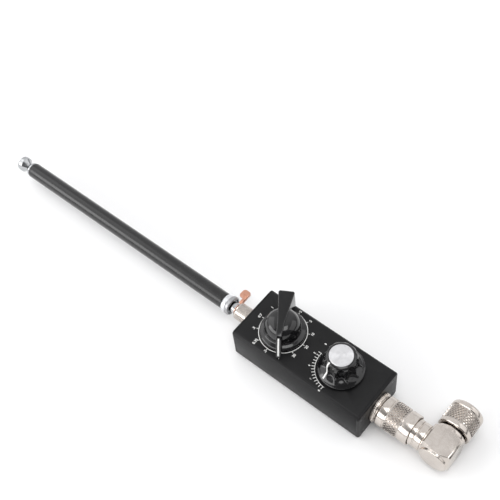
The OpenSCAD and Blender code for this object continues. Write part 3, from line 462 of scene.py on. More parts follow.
def makeRowsTree():
    # copies of one shape in rows round the Z axis, joined to the piece they are on
    tree, given, result = newTree(
        "rowsRoundAxis", ("Shape", "Object", None), ("Count", "Int", 12),
        ("Angle Step", "Float", 0.5), ("First Angle", "Float", 0.0), ("Rows", "Int", 1),
        ("Row Step", "Float", 0.001),
        ("Stagger", "Float", 0.0), ("Radius", "Float", 0.01), ("Start", "Float", 0.0),
        ("Finish", "Material", None))
    index = put(tree, "GeometryNodeInputIndex").outputs[0]
    total = maths(tree, "MULTIPLY", given["Count"], given["Rows"])
    row = maths(tree, "FLOOR", maths(tree, "DIVIDE", maths(tree, "ADD", index, 0.5),
                                     given["Count"]))
    column = maths(tree, "SUBTRACT", index, maths(tree, "MULTIPLY", row, given["Count"]))
    shifted = maths(tree, "ADD", column, maths(tree, "MULTIPLY", given["Stagger"],
                                               maths(tree, "MODULO", row, 2.0)))
    angle = maths(tree, "ADD", given["First Angle"],
                  maths(tree, "MULTIPLY", shifted, given["Angle Step"]))
    where = put(tree, "ShaderNodeCombineXYZ", {
        "X": maths(tree, "MULTIPLY", given["Radius"], maths(tree, "COSINE", angle)),
        "Y": maths(tree, "MULTIPLY", given["Radius"], maths(tree, "SINE", angle)),
        "Z": maths(tree, "ADD", given["Start"], maths(tree, "MULTIPLY", row, given["Row Step"])),
    }).outputs[0]
    points = put(tree, "GeometryNodePoints", {"Count": total, "Position": where}).outputs[0]
    turn = put(tree, "ShaderNodeCombineXYZ", {"Z": angle}).outputs[0]
    stored = put(tree, "GeometryNodeStoreNamedAttribute", {
        "Geometry": points, "Name": "turn", "Value": turn},
        data_type="FLOAT_VECTOR", domain="POINT").outputs[0]
    kept = put(tree, "GeometryNodeInputNamedAttribute", {"Name": "turn"},
               data_type="FLOAT_VECTOR").outputs[0]
    shape = put(tree, "GeometryNodeObjectInfo", {"Object": given["Shape"]}).outputs["Geometry"]
    copies = put(tree, "GeometryNodeInstanceOnPoints", {
        "Points": stored, "Instance": shape, "Rotation": kept}).outputs[0]
    both = tree.nodes.new("GeometryNodeJoinGeometry")
    tree.links.new(given["Geometry"], both.inputs[0])
    tree.links.new(dressed(tree, copies, given["Finish"]), both.inputs[0])
    tree.links.new(both.outputs[0], result["Geometry"])
    return tree


def makePlaceTree():
    # one copy of a shape at each vertex of the piece, facing outwards and spun at random
    tree, given, result = newTree(
        "shapeAtPoints", ("Shape", "Object", None), ("Finish", "Material", None))
    shape = put(tree, "GeometryNodeObjectInfo", {"Object": given["Shape"]}).outputs["Geometry"]
    spin = put(tree, "FunctionNodeRandomValue", {2: 0.0, 3: 6.28, "Seed": 4},
               data_type="FLOAT").outputs[1]
    side = put(tree, "GeometryNodeInputPosition").outputs[0]
    across = put(tree, "ShaderNodeSeparateXYZ", {0: side}).outputs["X"]
    facing = maths(tree, "MULTIPLY", maths(tree, "LESS_THAN", across, 0.0), math.pi)
    turn = put(tree, "ShaderNodeCombineXYZ", {"X": spin, "Z": facing}).outputs[0]
    copies = put(tree, "GeometryNodeInstanceOnPoints", {
        "Points": given["Geometry"], "Instance": shape, "Rotation": turn}).outputs[0]
    tree.links.new(dressed(tree, copies, given["Finish"]), result["Geometry"])
    return tree


def makeFluteTree():
    # scoops round a knob: each vertex is pulled in to the nearest scoop's wall
    tree, given, result = newTree(
        "knobFlutes", ("Flutes", "Int", 10), ("Scoop Radius", "Float", 0.0034),
        ("Scoop Centre", "Float", 0.0121), ("Fade Low", "Float", 0.003),
        ("Fade High", "Float", 0.005), ("Softness", "Float", 0.0003), ("Finish", "Material", None))
    spot = put(tree, "GeometryNodeInputPosition").outputs[0]
    here = put(tree, "ShaderNodeSeparateXYZ", {0: spot}).outputs
    radius = maths(tree, "SQRT", maths(tree, "ADD", maths(tree, "MULTIPLY", here["X"], here["X"]),
                                       maths(tree, "MULTIPLY", here["Y"], here["Y"])))
    angle = maths(tree, "ARCTAN2", here["Y"], here["X"])
    pitch = maths(tree, "DIVIDE", 2 * math.pi, given["Flutes"])
    folded = maths(tree, "SUBTRACT", maths(tree, "FLOORED_MODULO", angle, pitch),
                   maths(tree, "MULTIPLY", pitch, 0.5))
    side = maths(tree, "MULTIPLY", given["Scoop Centre"], maths(tree, "SINE", folded))
    reach = maths(tree, "SUBTRACT",
                  maths(tree, "MULTIPLY", given["Scoop Radius"], given["Scoop Radius"]),
                  maths(tree, "MULTIPLY", side, side))
    wall = maths(tree, "SUBTRACT",
                 maths(tree, "MULTIPLY", given["Scoop Centre"], maths(tree, "COSINE", folded)),
                 maths(tree, "SQRT", maths(tree, "MAXIMUM", reach, 0.0)))
    outside = maths(tree, "LESS_THAN", reach, 0.0)
    scooped = maths(tree, "SMOOTH_MIN", radius, maths(tree, "ADD", wall, outside),
                    given["Softness"])
    fade = put(tree, "ShaderNodeMapRange", {
        "Value": here["Z"], "From Min": given["Fade Low"], "From Max": given["Fade High"],
        "To Min": 0.0, "To Max": 1.0}, interpolation_type="SMOOTHSTEP").outputs["Result"]
    newRadius = maths(tree, "ADD", radius, maths(tree, "MULTIPLY", fade,
                                                 maths(tree, "SUBTRACT", scooped, radius)))
    shrink = maths(tree, "DIVIDE", newRadius, maths(tree, "MAXIMUM", radius, 0.0001))
    moved = put(tree, "ShaderNodeCombineXYZ", {
        "X": maths(tree, "MULTIPLY", here["X"], shrink),
        "Y": maths(tree, "MULTIPLY", here["Y"], shrink), "Z": here["Z"]}).outputs[0]
    shaped = put(tree, "GeometryNodeSetPosition", {
        "Geometry": given["Geometry"], "Position": moved}).outputs[0]
    tree.links.new(dressed(tree, shaped, given["Finish"]), result["Geometry"])
    return tree


def makeWaverTree():
    # slight unevenness along a shrunk sleeve
    tree, given, result = newTree(
        "shrinkWaver", ("Depth", "Float", 0.00005), ("Scale", "Float", 60.0),
        ("Finish", "Material", None))
    spot = put(tree, "ShaderNodeTexNoise", {"Scale": given["Scale"], "Detail": 2.0, "W": 3.0},
               noise_dimensions="4D").outputs["Fac"]
    amount = maths(tree, "MULTIPLY", maths(tree, "SUBTRACT", spot, 1.0), given["Depth"])
    out = put(tree, "GeometryNodeInputNormal").outputs[0]
    shift = put(tree, "ShaderNodeVectorMath", {0: out, "Scale": amount},
                operation="SCALE").outputs[0]
    moved = put(tree, "GeometryNodeSetPosition", {
        "Geometry": given["Geometry"], "Offset": shift}).outputs[0]
    tree.links.new(dressed(tree, moved, given["Finish"]), result["Geometry"])
    return tree


rowsTree = makeRowsTree()
placeTree = makePlaceTree()
fluteTree = makeFluteTree()
waverTree = makeWaverTree()


def standUp(piece, axis, centre=(0, 0, 0), angle=0.0):
    # turns a piece made round Z to another axis, then puts its place in its mesh
    lean = {"X": Matrix.Rotation(math.pi / 2, 4, "Y"), "Y": Matrix.Rotation(-math.pi / 2, 4, "X"),
            "Z": Matrix.Identity(4)}[axis]
    spin = Matrix.Rotation(math.radians(angle), 4, "Z")
    piece.data.transform(Matrix.Translation(Vector(centre) * mm) @ lean @ spin)
    piece.data.update()
    return piece


def flowing(points, steps=6):
    # a smooth line through the given points
    line = []
    for i in range(len(points) - 1):
        a = Vector(points[max(i - 1, 0)])
        b, c = Vector(points[i]), Vector(points[i + 1])
        d = Vector(points[min(i + 2, len(points) - 1)])
        for k in range(steps):
            t = k / steps
            line.append(tuple(0.5 * (2 * b + (c - a) * t + (2 * a - 5 * b + 4 * c - d) * t ** 2
                                     + (3 * b - a - 3 * c + d) * t ** 3)))
    line.append(tuple(points[-1]))
    return line


def cadCopy(node, name, material, bevelWidth=0.0):
    # a merged copy of a CAD node with softened edges
    mesh = nodes[node].data.copy()
    mesh.name = name
    shape = bmesh.new()
    shape.from_mesh(mesh)
    bmesh.ops.remove_doubles(shape, verts=shape.verts, dist=1e-6)
    bmesh.ops.dissolve_limit(shape, angle_limit=math.radians(0.6), verts=shape.verts,
                             edges=shape.edges)
    shape.to_mesh(mesh)
    shape.free()
    mesh.materials.clear()
    mesh.materials.append(material)
    piece = placed(name, mesh)
    smooth(piece)
    if bevelWidth:
        addBevel(piece, bevelWidth, 3, 40)
    return piece


# Where things are, from the frame

topZ = edges("case_top")[1].z
lineHeight = middle("socket_body").z
elbowX = middle("coupling_nut_radio").x
bandAxis = (*middle("switch_nut").xy, 0)
tuningAxis = (*middle("tuning_cap").xy, 0)
lineAxis = (0, 0, lineHeight)
radioAxis = (elbowX, 0, lineHeight)


# Case

caseValues = {
    "softEdge": 0.22, "corner": 2.2, "plateEdge": 0.8, "plateSeam": 0.12, "plugHole": 8.0,
    "bushHole": 4.22, "holeEdge": 0.1, "gap": 0.05, "screwHead": 2.0, "screwShank": 0.95,
    "screwHole": 1.05, "screwLong": 4.0, "sunk": 1.0, "slotWide": 0.5, "slotReach": 1.1,
    "slotDeep": 0.6,
}


def roundedSection(x, inset, low, high, steps=7):
    # one ring of points round the case's outline, drawn in by the inset
    corner = caseValues["corner"]
    right, left = high.y - corner, low.y + corner
    upper, lower = high.z - corner, low.z + corner
    centres = ((right, upper), (left, upper), (left, lower), (right, lower))
    ring = []
    for quarter, (y, z) in enumerate(centres):
        for k in range(steps + 1):
            a = math.pi / 2 * (quarter + k / steps)
            ring.append((x, y + (corner - inset) * math.cos(a), z + (corner - inset) * math.sin(a)))
    return ring


def endPlate(name, node, hole, side):
    # flat plate with rounded corners, a softened outer edge, its bore and four countersinks
    low, high = edges(node)
    inner, outer = (low.x, high.x) if side > 0 else (high.x, low.x)
    back, front = inner - side, outer + side    # past each face, for the cuts
    soft, seam = caseValues["plateEdge"], caseValues["plateSeam"]
    rings = [roundedSection(inner, seam, low, high),
             roundedSection(inner + side * seam, 0.0, low, high)]
    rings += [roundedSection(outer - side * soft * (1 - rise), soft * (1 - level), low, high)
              for level, rise in quarterTurn(5)]
    plate = loft(name, rings, caseBlack, 30)
    edge, gap = caseValues["holeEdge"], caseValues["gap"]
    wide = hole + edge + gap
    cut(plate, lathe("bore", [
        (0, back), (hole, back), (hole, outer - side * edge), (wide, outer + side * gap),
        (wide, front), (0, front)], "X", lineAxis, segments=96))
    wideHead, shank = caseValues["screwHead"] + gap, caseValues["screwHole"]
    sink = [(0, back), (shank, back), (shank, outer - side * caseValues["sunk"]),
            (wideHead, outer), (wideHead, front), (0, front)]
    for y, z in screwPlaces:
        cut(plate, lathe("sink", sink, "X", (0, y, z), segments=36))
    return plate


head = caseValues["screwHead"]
screwLow, screwHigh = edges("end_plate_screws")
screwPlaces = [(side * (screwHigh.y - head), z) for side in (-1, 1)
               for z in (screwLow.z + head, screwHigh.z - head)]
casePieces = {
    "case_body": cadCopy("case_body", "caseBase", caseBlack, caseValues["softEdge"]),
    "case_top": cadCopy("case_top", "caseLid", caseBlack, caseValues["softEdge"]),
    "end_plate_antenna": endPlate("plateAntenna", "end_plate_antenna", caseValues["bushHole"], -1),
    "end_plate_connector": endPlate("platePlug", "end_plate_connector", caseValues["plugHole"], 1),
}
for node, piece in casePieces.items():
    finish(piece, chassis, "case_black", node)

shank, screwFoot = caseValues["screwShank"], -caseValues["screwLong"]
screwShape = lathe("screwShape", [
    (0, screwFoot), (shank, screwFoot), (shank, -caseValues["sunk"]), (head - 0.1, -0.08),
    (head - 0.06, 0.0), (head * 0.55, 0.05), (0, 0.07)], "X", segments=40, sharpAngle=25)
slotReach, slotHalf = caseValues["slotReach"], caseValues["slotWide"] / 2
for y, z in ((slotHalf, slotReach), (slotReach, slotHalf)):
    cut(screwShape, boxObject("slot", (-caseValues["slotDeep"], -y, -z), (1, y, z)))
plugFace = edges("end_plate_connector")[1].x
screwSpots = [(side * plugFace, y, z) for side in (-1, 1) for y, z in screwPlaces]
endScrews = meshObject("endScrews", screwSpots, [], screwBlack)
runTree(endScrews, placeTree, shape=screwShape, finish=screwBlack)
finish(endScrews, chassis, "case_black", "end_plate_screws")
print("case done")


# Printed dials: ink rings, ticks and plain numbers on the lid

dialValues = {
    "ink": 0.035, "tickWide": 0.32, "numberBold": 0.05,
    "bandRing": 13.8, "bandLine": 0.42, "bandTick": 1.3, "bandStep": 30, "bandSize": 2.15,
    "bandNumbers": 16.7, "sideNumbers": 15.9, "sideMarks": (3, 9),
    "bandMarks": ("20", "10", "5", "2", "1.5", "1", "0.7", ".5", "0.35", ".2", ".1", "30"),
    "tuningArc": 14.5, "tuningFrom": 174.5, "tuningTo": 266.5, "tuningLine": 0.24,
    "tuningTicks": 14, "firstTick": 176.25, "tickStep": 6.75, "tuningTick": 1.9,
    "tuningNumbers": 17.6, "tuningSize": 1.7, "firstNumber": 156, "numberStep": 27,
    "tuningMarks": ("0", "2", "4", "6", "8"),
}


def inkBand(name, radius, wide, start, end, centre):
    # a flat printed line round a circle, or along a part of it with closed ends
    steps = int((end - start) / 2)
    inner, outer = radius - wide / 2, radius + wide / 2
    low, high = topZ, topZ + dialValues["ink"]
    rings = []
    for k in range(steps + 1):
        a = math.radians(start + (end - start) * k / steps)
        rings.append([(centre[0] + r * math.cos(a), centre[1] + r * math.sin(a), z)
                      for r, z in ((inner, low), (outer, low), (outer, high), (inner, high))])
    return loft(name, rings, inkWhite, ends=end - start < 360)


def numberMesh(text, size, centre, radius, degrees):
    # a plain number round a dial, read with the whip end upwards
    letters = bpy.data.curves.new("number", "FONT")
    letters.body = text
    letters.size = size * mm
    letters.align_x = "CENTER"
    letters.align_y = "CENTER"
    letters.extrude = dialValues["ink"] / 2 * mm
    letters.offset = dialValues["numberBold"] * mm
    holder = placed("number", letters)
    bpy.context.view_layer.update()
    seen = holder.evaluated_get(bpy.context.evaluated_depsgraph_get())
    mesh = bpy.data.meshes.new_from_object(seen)
    angle = math.radians(degrees)
    place = Vector((centre[0] + radius * math.cos(angle), centre[1] + radius * math.sin(angle),
                    topZ + dialValues["ink"] / 2))
    mesh.transform(Matrix.Translation(place * mm) @ Matrix.Rotation(math.pi / 2, 4, "Z"))
    bpy.data.objects.remove(holder)
    mesh.materials.clear()
    mesh.materials.append(inkWhite)
    return placed("number", mesh)


def tickRow(name, centre, radius, long, count, first, step):
    # even printed ticks that start on a circle and point outwards
    half = dialValues["tickWide"] / 2
    shape = boxObject("tick", (0, -half, 0), (long, half, dialValues["ink"]))
    row = meshObject(name, [], [], inkWhite)
    runTree(row, rowsTree, shape=shape, count=count, angleStep=math.radians(step),
            firstAngle=math.radians(first), radius=radius * mm, start=topZ * mm, finish=inkWhite)
    return standUp(row, "Z", centre)


prints = [inkBand("bandRing", dialValues["bandRing"], dialValues["bandLine"], 0, 360, bandAxis),
          tickRow("bandTicks", bandAxis, dialValues["bandRing"], dialValues["bandTick"],
                  len(dialValues["bandMarks"]), 0, dialValues["bandStep"])]
for position, mark in enumerate(dialValues["bandMarks"]):
    radius = dialValues["sideNumbers" if position in dialValues["sideMarks"] else "bandNumbers"]
    prints.append(numberMesh(mark, dialValues["bandSize"], bandAxis, radius,
                             dialValues["bandStep"] * position))
prints += [inkBand("tuningArc", dialValues["tuningArc"], dialValues["tuningLine"],
                   dialValues["tuningFrom"], dialValues["tuningTo"], tuningAxis),
           tickRow("tuningTicks", tuningAxis, dialValues["tuningArc"], dialValues["tuningTick"],
                   dialValues["tuningTicks"], dialValues["firstTick"], dialValues["tickStep"])]
for position, mark in enumerate(dialValues["tuningMarks"]):
    degrees = dialValues["firstNumber"] + dialValues["numberStep"] * position
    prints.append(numberMesh(mark, dialValues["tuningSize"], tuningAxis,
                             dialValues["tuningNumbers"], degrees))
finish(joined("dialPrint", prints), chassis, "white_line")
print("dials done")


# Band switch knob: a bell with a wedge bar and a white pointer line

bandKnob = {
    "skirt": 13.2, "edge": 0.15, "skirtHigh": 1.1, "skirtTop": 1.4,
    "rim": [(12.7, 1.8), (11.8, 2.25), (10.95, 2.65), (10.5, 3.1)],
    "dome": 10.4, "foot": 3.4, "rise": 9.6, "belly": 0.62, "crown": 0.8, "domeStep": 3,
    "nutHollow": 6.8, "hollowTop": 3.9, "shaftBore": 3.05, "boreTop": 10.9,
    "tail": -18.6, "reach": 17.4, "corner": 1.6, "tailHalf": 4.6, "barSoft": 0.5, "barSteps": 46,
    "barTop": [(-18.6, 12.1), (-18.2, 12.8), (-17.4, 13.2), (-8.0, 13.5), (3.5, 14.3),
               (8.0, 13.9), (11.0, 13.2), (12.2, 12.3), (15.0, 6.72), (17.1, 1.0), (17.4, 0.3)],
    "noseHalf": [(3.5, 1.95), (17.4, 1.28)], "dullTo": 9.5, "restAngle": -60.0,
    "line": (12.2, 13.0, 14.0, 15.0, 16.0, 17.05), "lineWide": 0.9, "lineProud": 0.03,
    "lineDeep": 0.25,
}


def levelAt(table, x):
    # height of a line of (x, height) points at x
    for (x0, y0), (x1, y1) in zip(table, table[1:]):
        if x <= x1:
            return y0 + (y1 - y0) * max(0.0, (x - x0) / (x1 - x0))
    return table[-1][1]


def strip(name, path, wide, proud, deep, material):
    # a thin inlay that follows (radius, height) points, made in the XZ plane
    rings = []
    for i, point in enumerate(path):
        ahead, behind = path[min(i + 1, len(path) - 1)], path[max(i - 1, 0)]
        run = (Vector(ahead) - Vector(behind)).normalized()
        out = Vector((-run.y, run.x))
        top, foot = Vector(point) + out * proud, Vector(point) - out * deep
        rings.append([(top.x, -wide / 2, top.y), (top.x, wide / 2, top.y),
                      (foot.x, wide / 2, foot.y), (foot.x, -wide / 2, foot.y)])
    return loft(name, rings, material)


bandPlace = (bandAxis[0], bandAxis[1], edges("band_knob")[0].z)
skirt, edge = bandKnob["skirt"], bandKnob["edge"]
hollow = [(bandKnob["nutHollow"], bandKnob["hollowTop"]),
          (bandKnob["shaftBore"], bandKnob["hollowTop"]),
          (bandKnob["shaftBore"], bandKnob["boreTop"]), (0, bandKnob["boreTop"])]
domeAngles = [math.radians(a) for a in range(0, 90, bandKnob["domeStep"])]
domeLine = [(bandKnob["dome"] * math.cos(a) ** bandKnob["belly"],
             bandKnob["foot"] + bandKnob["rise"] * math.sin(a) ** bandKnob["crown"])
            for a in domeAngles]
bell = lathe("bandBell", hollow[::-1] + [
    (bandKnob["nutHollow"], 0.0), (skirt - edge, 0.0), (skirt, edge),
    (skirt, bandKnob["skirtHigh"]), (skirt - edge, bandKnob["skirtTop"])]
    + flowing(bandKnob["rim"] + domeLine, 2) + [(0, bandKnob["foot"] + bandKnob["rise"])],
    "Z", material=knobBlack, segments=160, sharpAngle=40)

# The bar is lofted through cross-sections from the wide rear to the pointer's tip
tail, corner = bandKnob["tail"], bandKnob["corner"]
span = bandKnob["reach"] - tail
barHalf = [(tail + corner - corner * level, bandKnob["tailHalf"] - corner + corner * rise)
           for level, rise in quarterTurn(8)] + bandKnob["noseHalf"]
barMarks = sorted({round(x, 3) for x, _ in bandKnob["barTop"] + barHalf}
                  | {round(tail + span * k / bandKnob["barSteps"], 3)
                     for k in range(bandKnob["barSteps"] + 1)})
sections = []
for x in barMarks:
    top, half = levelAt(bandKnob["barTop"], x), levelAt(barHalf, x)
    soft = min(bandKnob["barSoft"], top * 0.45, half * 0.6)
    section = [(-half, 0.0)]
    section += [(-half + soft - soft * a, top - soft + soft * b) for a, b in quarterTurn(5)]
    section += [(half - soft + soft * b, top - soft + soft * a) for a, b in quarterTurn(5)]
    sections.append([(x, y, z) for y, z in section + [(half, 0.0)]])
bar = loft("bandBar", sections, knobBlack, 28)
bar.data.materials.append(knobTopBlack)
around = len(sections[0])
for i, x in enumerate(barMarks):
    if x < bandKnob["dullTo"]:
        bar.data.polygons[i * around + around // 2 - 1].material_index = 1    # its flat top
cut(bar, lathe("hollow", [(0, -2), (bandKnob["nutHollow"], -2)] + hollow, "Z", segments=96))
bandKnobPiece = joined("bandKnob", [bell, bar])
standUp(bandKnobPiece, "Z", bandPlace, bandKnob["restAngle"])
finish(bandKnobPiece, "band_control", "knob_black", "band_knob")

bandLine = strip("bandPointerLine", [(x, levelAt(bandKnob["barTop"], x)) for x in bandKnob["line"]],
                 bandKnob["lineWide"], bandKnob["lineProud"], bandKnob["lineDeep"], inkWhite)
standUp(bandLine, "Z", bandPlace, bandKnob["restAngle"])
finish(bandLine, "band_control", "white_line", "band_pointer_line")
print("band knob done")


# Tuning knob: a fluted body, a spun cap and a white line

tuningKnob = {
    "skirt": 13.2, "edge": 0.15, "skirtHigh": 1.0, "top": 15.1, "recess": 8.5, "recessTop": 1.8,
    "shaftBore": 3.05, "boreTop": 11.2, "capSeat": 6.83, "capDepth": 0.7, "seatEdge": 0.08,
    "body": [(12.8, 1.5), (12.1, 2.0), (11.4, 2.7), (10.9, 3.7), (9.75, 5.4), (9.4, 7.2),
             (9.3, 11.0), (9.1, 12.6), (8.7, 13.9), (8.1, 14.6), (7.3, 15.05)],
    "flutes": 10, "scoopRadius": 3.4, "scoopCentre": 11.6, "fadeLow": 2.4, "fadeHigh": 4.9,
    "softness": 0.35, "restAngle": -108.0, "lineFrom": 1.9, "lineTo": 15.0, "lineWide": 0.9,
    "lineProud": 0.04, "lineDeep": 0.3,
    "cap": [(0, 0), (6.7, 0), (6.8, 0.1), (6.8, 0.55), (6.62, 0.75)],
    "capRing": [(6.45, 0.79), (6.28, 0.79), (6.24, 0.75), (6.16, 0.75), (6.12, 0.79)],
    "capFace": [(4.0, 0.785), (0, 0.78)],
}
tuningPlace = (tuningAxis[0], tuningAxis[1], edges("tuning_knob")[0].z)
skirt, edge, top = tuningKnob["skirt"], tuningKnob["edge"], tuningKnob["top"]
bore, recess, seat = tuningKnob["shaftBore"], tuningKnob["recess"], tuningKnob["capSeat"]
outline = flowing(tuningKnob["body"], 7)
tuningBody = lathe("tuningKnob", [
    (0, tuningKnob["boreTop"]), (bore, tuningKnob["boreTop"]), (bore, tuningKnob["recessTop"]),
    (recess, tuningKnob["recessTop"]), (recess, 0.0), (skirt - edge, 0.0), (skirt, edge),
    (skirt, tuningKnob["skirtHigh"])] + outline + [
    (6.9, top), (seat, top - tuningKnob["seatEdge"]), (seat, top - tuningKnob["capDepth"]),
    (0, top - tuningKnob["capDepth"])],
    "Z", material=knobBlack, segments=400, sharpAngle=40)
lengths = {key: tuningKnob[key] * mm for key in (
    "scoopRadius", "scoopCentre", "fadeLow", "fadeHigh", "softness")}
runTree(tuningBody, fluteTree, 40, flutes=tuningKnob["flutes"], finish=knobBlack, **lengths)
standUp(tuningBody, "Z", tuningPlace, tuningKnob["restAngle"])
finish(tuningBody, "tuning_control", "knob_black", "tuning_knob")

linePath = [p for p in outline[::-1] if tuningKnob["lineFrom"] < p[1] < tuningKnob["lineTo"]]
tuningLine = strip("tuningPointerLine", linePath, tuningKnob["lineWide"],
                   tuningKnob["lineProud"], tuningKnob["lineDeep"], inkWhite)
standUp(tuningLine, "Z", tuningPlace, tuningKnob["restAngle"])
finish(tuningLine, "tuning_control", "white_line", "tuning_pointer_line")

capPlace = (tuningAxis[0], tuningAxis[1], edges("tuning_cap")[0].z)
tuningCap = lathe("tuningCap", tuningKnob["cap"] + tuningKnob["capRing"] + tuningKnob["capFace"],
                  "Z", capPlace, spunFace("capSpun", tuningAxis))
finish(tuningCap, "tuning_control", "spun_aluminium", "tuning_cap")
print("tuning knob done")


# Knurled nuts

knurl = {"pitch": 1.85, "tall": 2.2, "depth": 0.5, "flat": 0.34, "share": 0.84, "root": 0.06,
         "soft": 0.16, "slack": 0.05}


def diamond():
    # one four-sided point of the knurl, cut short at its tip
    half, high = knurl["pitch"] * knurl["share"] / 2, knurl["tall"] * knurl["share"] / 2
    base = [(-knurl["root"], y, z) for y, z in ((-half, 0), (0, -high), (half, 0), (0, high))]
    crown = [(knurl["depth"], y * knurl["flat"], z * knurl["flat"]) for _, y, z in base]
    faces = [(3, 2, 1, 0), (4, 5, 6, 7)]
    faces += [(k, (k + 1) % 4, 4 + (k + 1) % 4, 4 + k) for k in range(4)]
    return meshObject("diamond", base + crown, faces, sharpAngle=10)


def knurledNut(name, outline, axis, centre, gripStart, gripEnd, radius, material):
    # turned body with rows of diamonds round its grip, over a core darkened with painted shade
    body = lathe(name, softCorners(outline, knurl["soft"], True), "Z", material=material,
                 closed=True, segments=144)
    # the core faces along the grip get the darker nickel: painted shade in the knurl's grooves
    body.data.materials.append(knurlShade)
    core = radius - knurl["depth"]
    for face in body.data.polygons:
        spot = face.center / mm
        out = math.hypot(spot.x, spot.y)
        if gripStart < spot.z < gripEnd and out > core - knurl["slack"]:
            face.material_index = 1
    rows = int((gripEnd - gripStart) / (knurl["tall"] / 2)) - 1
    around = round(2 * math.pi * radius / knurl["pitch"])
    stepUp = (gripEnd - gripStart) / (rows + 1)
    runTree(body, rowsTree, 30, shape=diamond(), count=around, angleStep=2 * math.pi / around,
            rows=rows, rowStep=stepUp * mm, stagger=0.5, radius=core * mm,
            start=(gripStart + stepUp) * mm, finish=material)
    return standUp(body, axis, centre)


nut = {
    "bore": 8.05, "lip": 6.75, "edge": 0.3, "socketGrip": (5.1, 6.3), "groove": 0.7,
    "floor": 0.55, "socketLip": (1.6, 4.9), "radioGrip": (3.0, 3.6), "step": 0.6,
    "shoulder": 0.5, "radioLip": (1.7, 5.1),
}
bore, lip, edge, slack = nut["bore"], nut["lip"], nut["edge"], knurl["slack"]

low, high = edges("coupling_nut_socket")
radius, near, far = (high.y - low.y) / 2, low.x, high.x
core, floor = radius - knurl["depth"], radius - nut["floor"]
grip, gripEnd = near + nut["socketGrip"][0], far - nut["socketGrip"][1]
lipFrom, lipTo = far - nut["socketLip"][0], far - nut["socketLip"][1]
socketNut = knurledNut("couplingNutSocket", [
    (bore, near), (radius - 0.35, near), (radius, near + 0.5), (radius, grip - nut["groove"]),
    (floor, grip - nut["groove"]), (floor, grip), (core, grip + slack), (core, gripEnd - slack),
    (floor, gripEnd), (floor, gripEnd + nut["groove"]), (radius, gripEnd + nut["groove"]),
    (radius, far - edge), (radius - edge, far), (bore + 0.2, far), (bore, lipFrom),
    (lip, lipFrom), (lip, lipTo), (bore, lipTo)],
    "X", lineAxis, grip, gripEnd, radius, nickelAlongX)
finish(socketNut, "socket_nut", "nickel", "coupling_nut_socket")

low, high = edges("coupling_nut_radio")
radius, near, far = (high.x - low.x) / 2, low.y, high.y
core, shoulder = radius - knurl["depth"], radius - nut["shoulder"]
grip, gripEnd = near + nut["radioGrip"][0], far - nut["radioGrip"][1]
lipFrom, lipTo = near + nut["radioLip"][0], near + nut["radioLip"][1]
radioNut = knurledNut("couplingNutRadio", [
    (bore, near), (radius - 0.4, near), (radius, near + 0.4), (radius, grip - nut["step"]),
    (shoulder, grip - nut["step"]), (shoulder, grip), (core, grip + slack), (core, gripEnd),
    (radius, gripEnd + 0.35), (radius, far - 1.9), (radius - 0.12, far - 1.2),
    (shoulder, far - 0.45), (radius - 1.15, far), (bore, far), (bore, lipTo),
    (lip, lipTo), (lip, lipFrom), (bore, lipFrom)],
    "Y", radioAxis, grip, gripEnd, radius, nickelAlongY)
finish(radioNut, "radio_nut", "nickel", "coupling_nut_radio")
print("nuts done")


# Socket on the case, with its toothed ring nut and its threaded barrel

socket = {
    "barrel": 7.95, "flange": 9.0, "flangeThick": 1.5, "bore": 6.3, "endEdge": 0.3,
    "threadFrom": 0.2, "threadTo": 0.6, "threadPitch": 0.75, "threadDeep": 0.22,
    "crest": 0.2, "trough": 0.45,
    "ringGap": 0.03, "ringTeeth": 56, "toothHalf": 0.24, "toothOut": 0.29, "toothIn": 0.4,
    "toothInset": 0.25, "toothShort": 0.8, "ringRoot": 0.3,
}
ringLow, ringHigh = edges("socket_ring_nut")
ringRadius = (ringHigh.y - ringLow.y) / 2
ringStart, ringEnd = ringLow.x, ringHigh.x
root, seat = ringRadius - socket["ringRoot"], socket["barrel"] + socket["ringGap"]
ringNut = lathe("socketRingNut", softCorners([
    (seat, ringStart), (ringRadius - 0.35, ringStart), (root, ringStart + 0.2),
    (root, ringEnd - 0.6), (ringRadius - 0.35, ringEnd - 0.3), (ringRadius - 0.7, ringEnd),
    (seat, ringEnd)], 0.1, True), "Z", material=nickelAlongX, closed=True)
tooth = boxObject("tooth", (-socket["toothIn"], -socket["toothHalf"], 0), (
    socket["toothOut"], socket["toothHalf"], ringEnd - ringStart - socket["toothShort"]), bevel=0.1)
runTree(ringNut, rowsTree, shape=tooth, count=socket["ringTeeth"],
        angleStep=2 * math.pi / socket["ringTeeth"], radius=root * mm,
        start=(ringStart + socket["toothInset"]) * mm, finish=nickelAlongX)
standUp(ringNut, "X", lineAxis)
finish(ringNut, chassis, "nickel", "socket_ring_nut")

low, high = edges("socket_body")
barrel, bore = socket["barrel"], socket["bore"]
flangeEnd = low.x + socket["flangeThick"]
thread = []
s = ringEnd + socket["threadFrom"]
while s < high.x - socket["threadTo"]:
    thread += [(barrel, s), (barrel, s + socket["crest"]),
               (barrel - socket["threadDeep"], s + socket["trough"])]
    s += socket["threadPitch"]
socketBarrel = lathe("socketBarrel", [
    (bore, low.x), (socket["flange"], low.x), (socket["flange"], flangeEnd), (barrel, flangeEnd),
    (barrel, ringEnd)] + thread + [(barrel - socket["endEdge"], high.x), (bore, high.x)],
    "X", lineAxis, nickelAlongX, 112, closed=True, sharpAngle=25)
finish(socketBarrel, chassis, "nickel", "socket_body")


# Right-angle plug: a turned square block with an arm to each nut

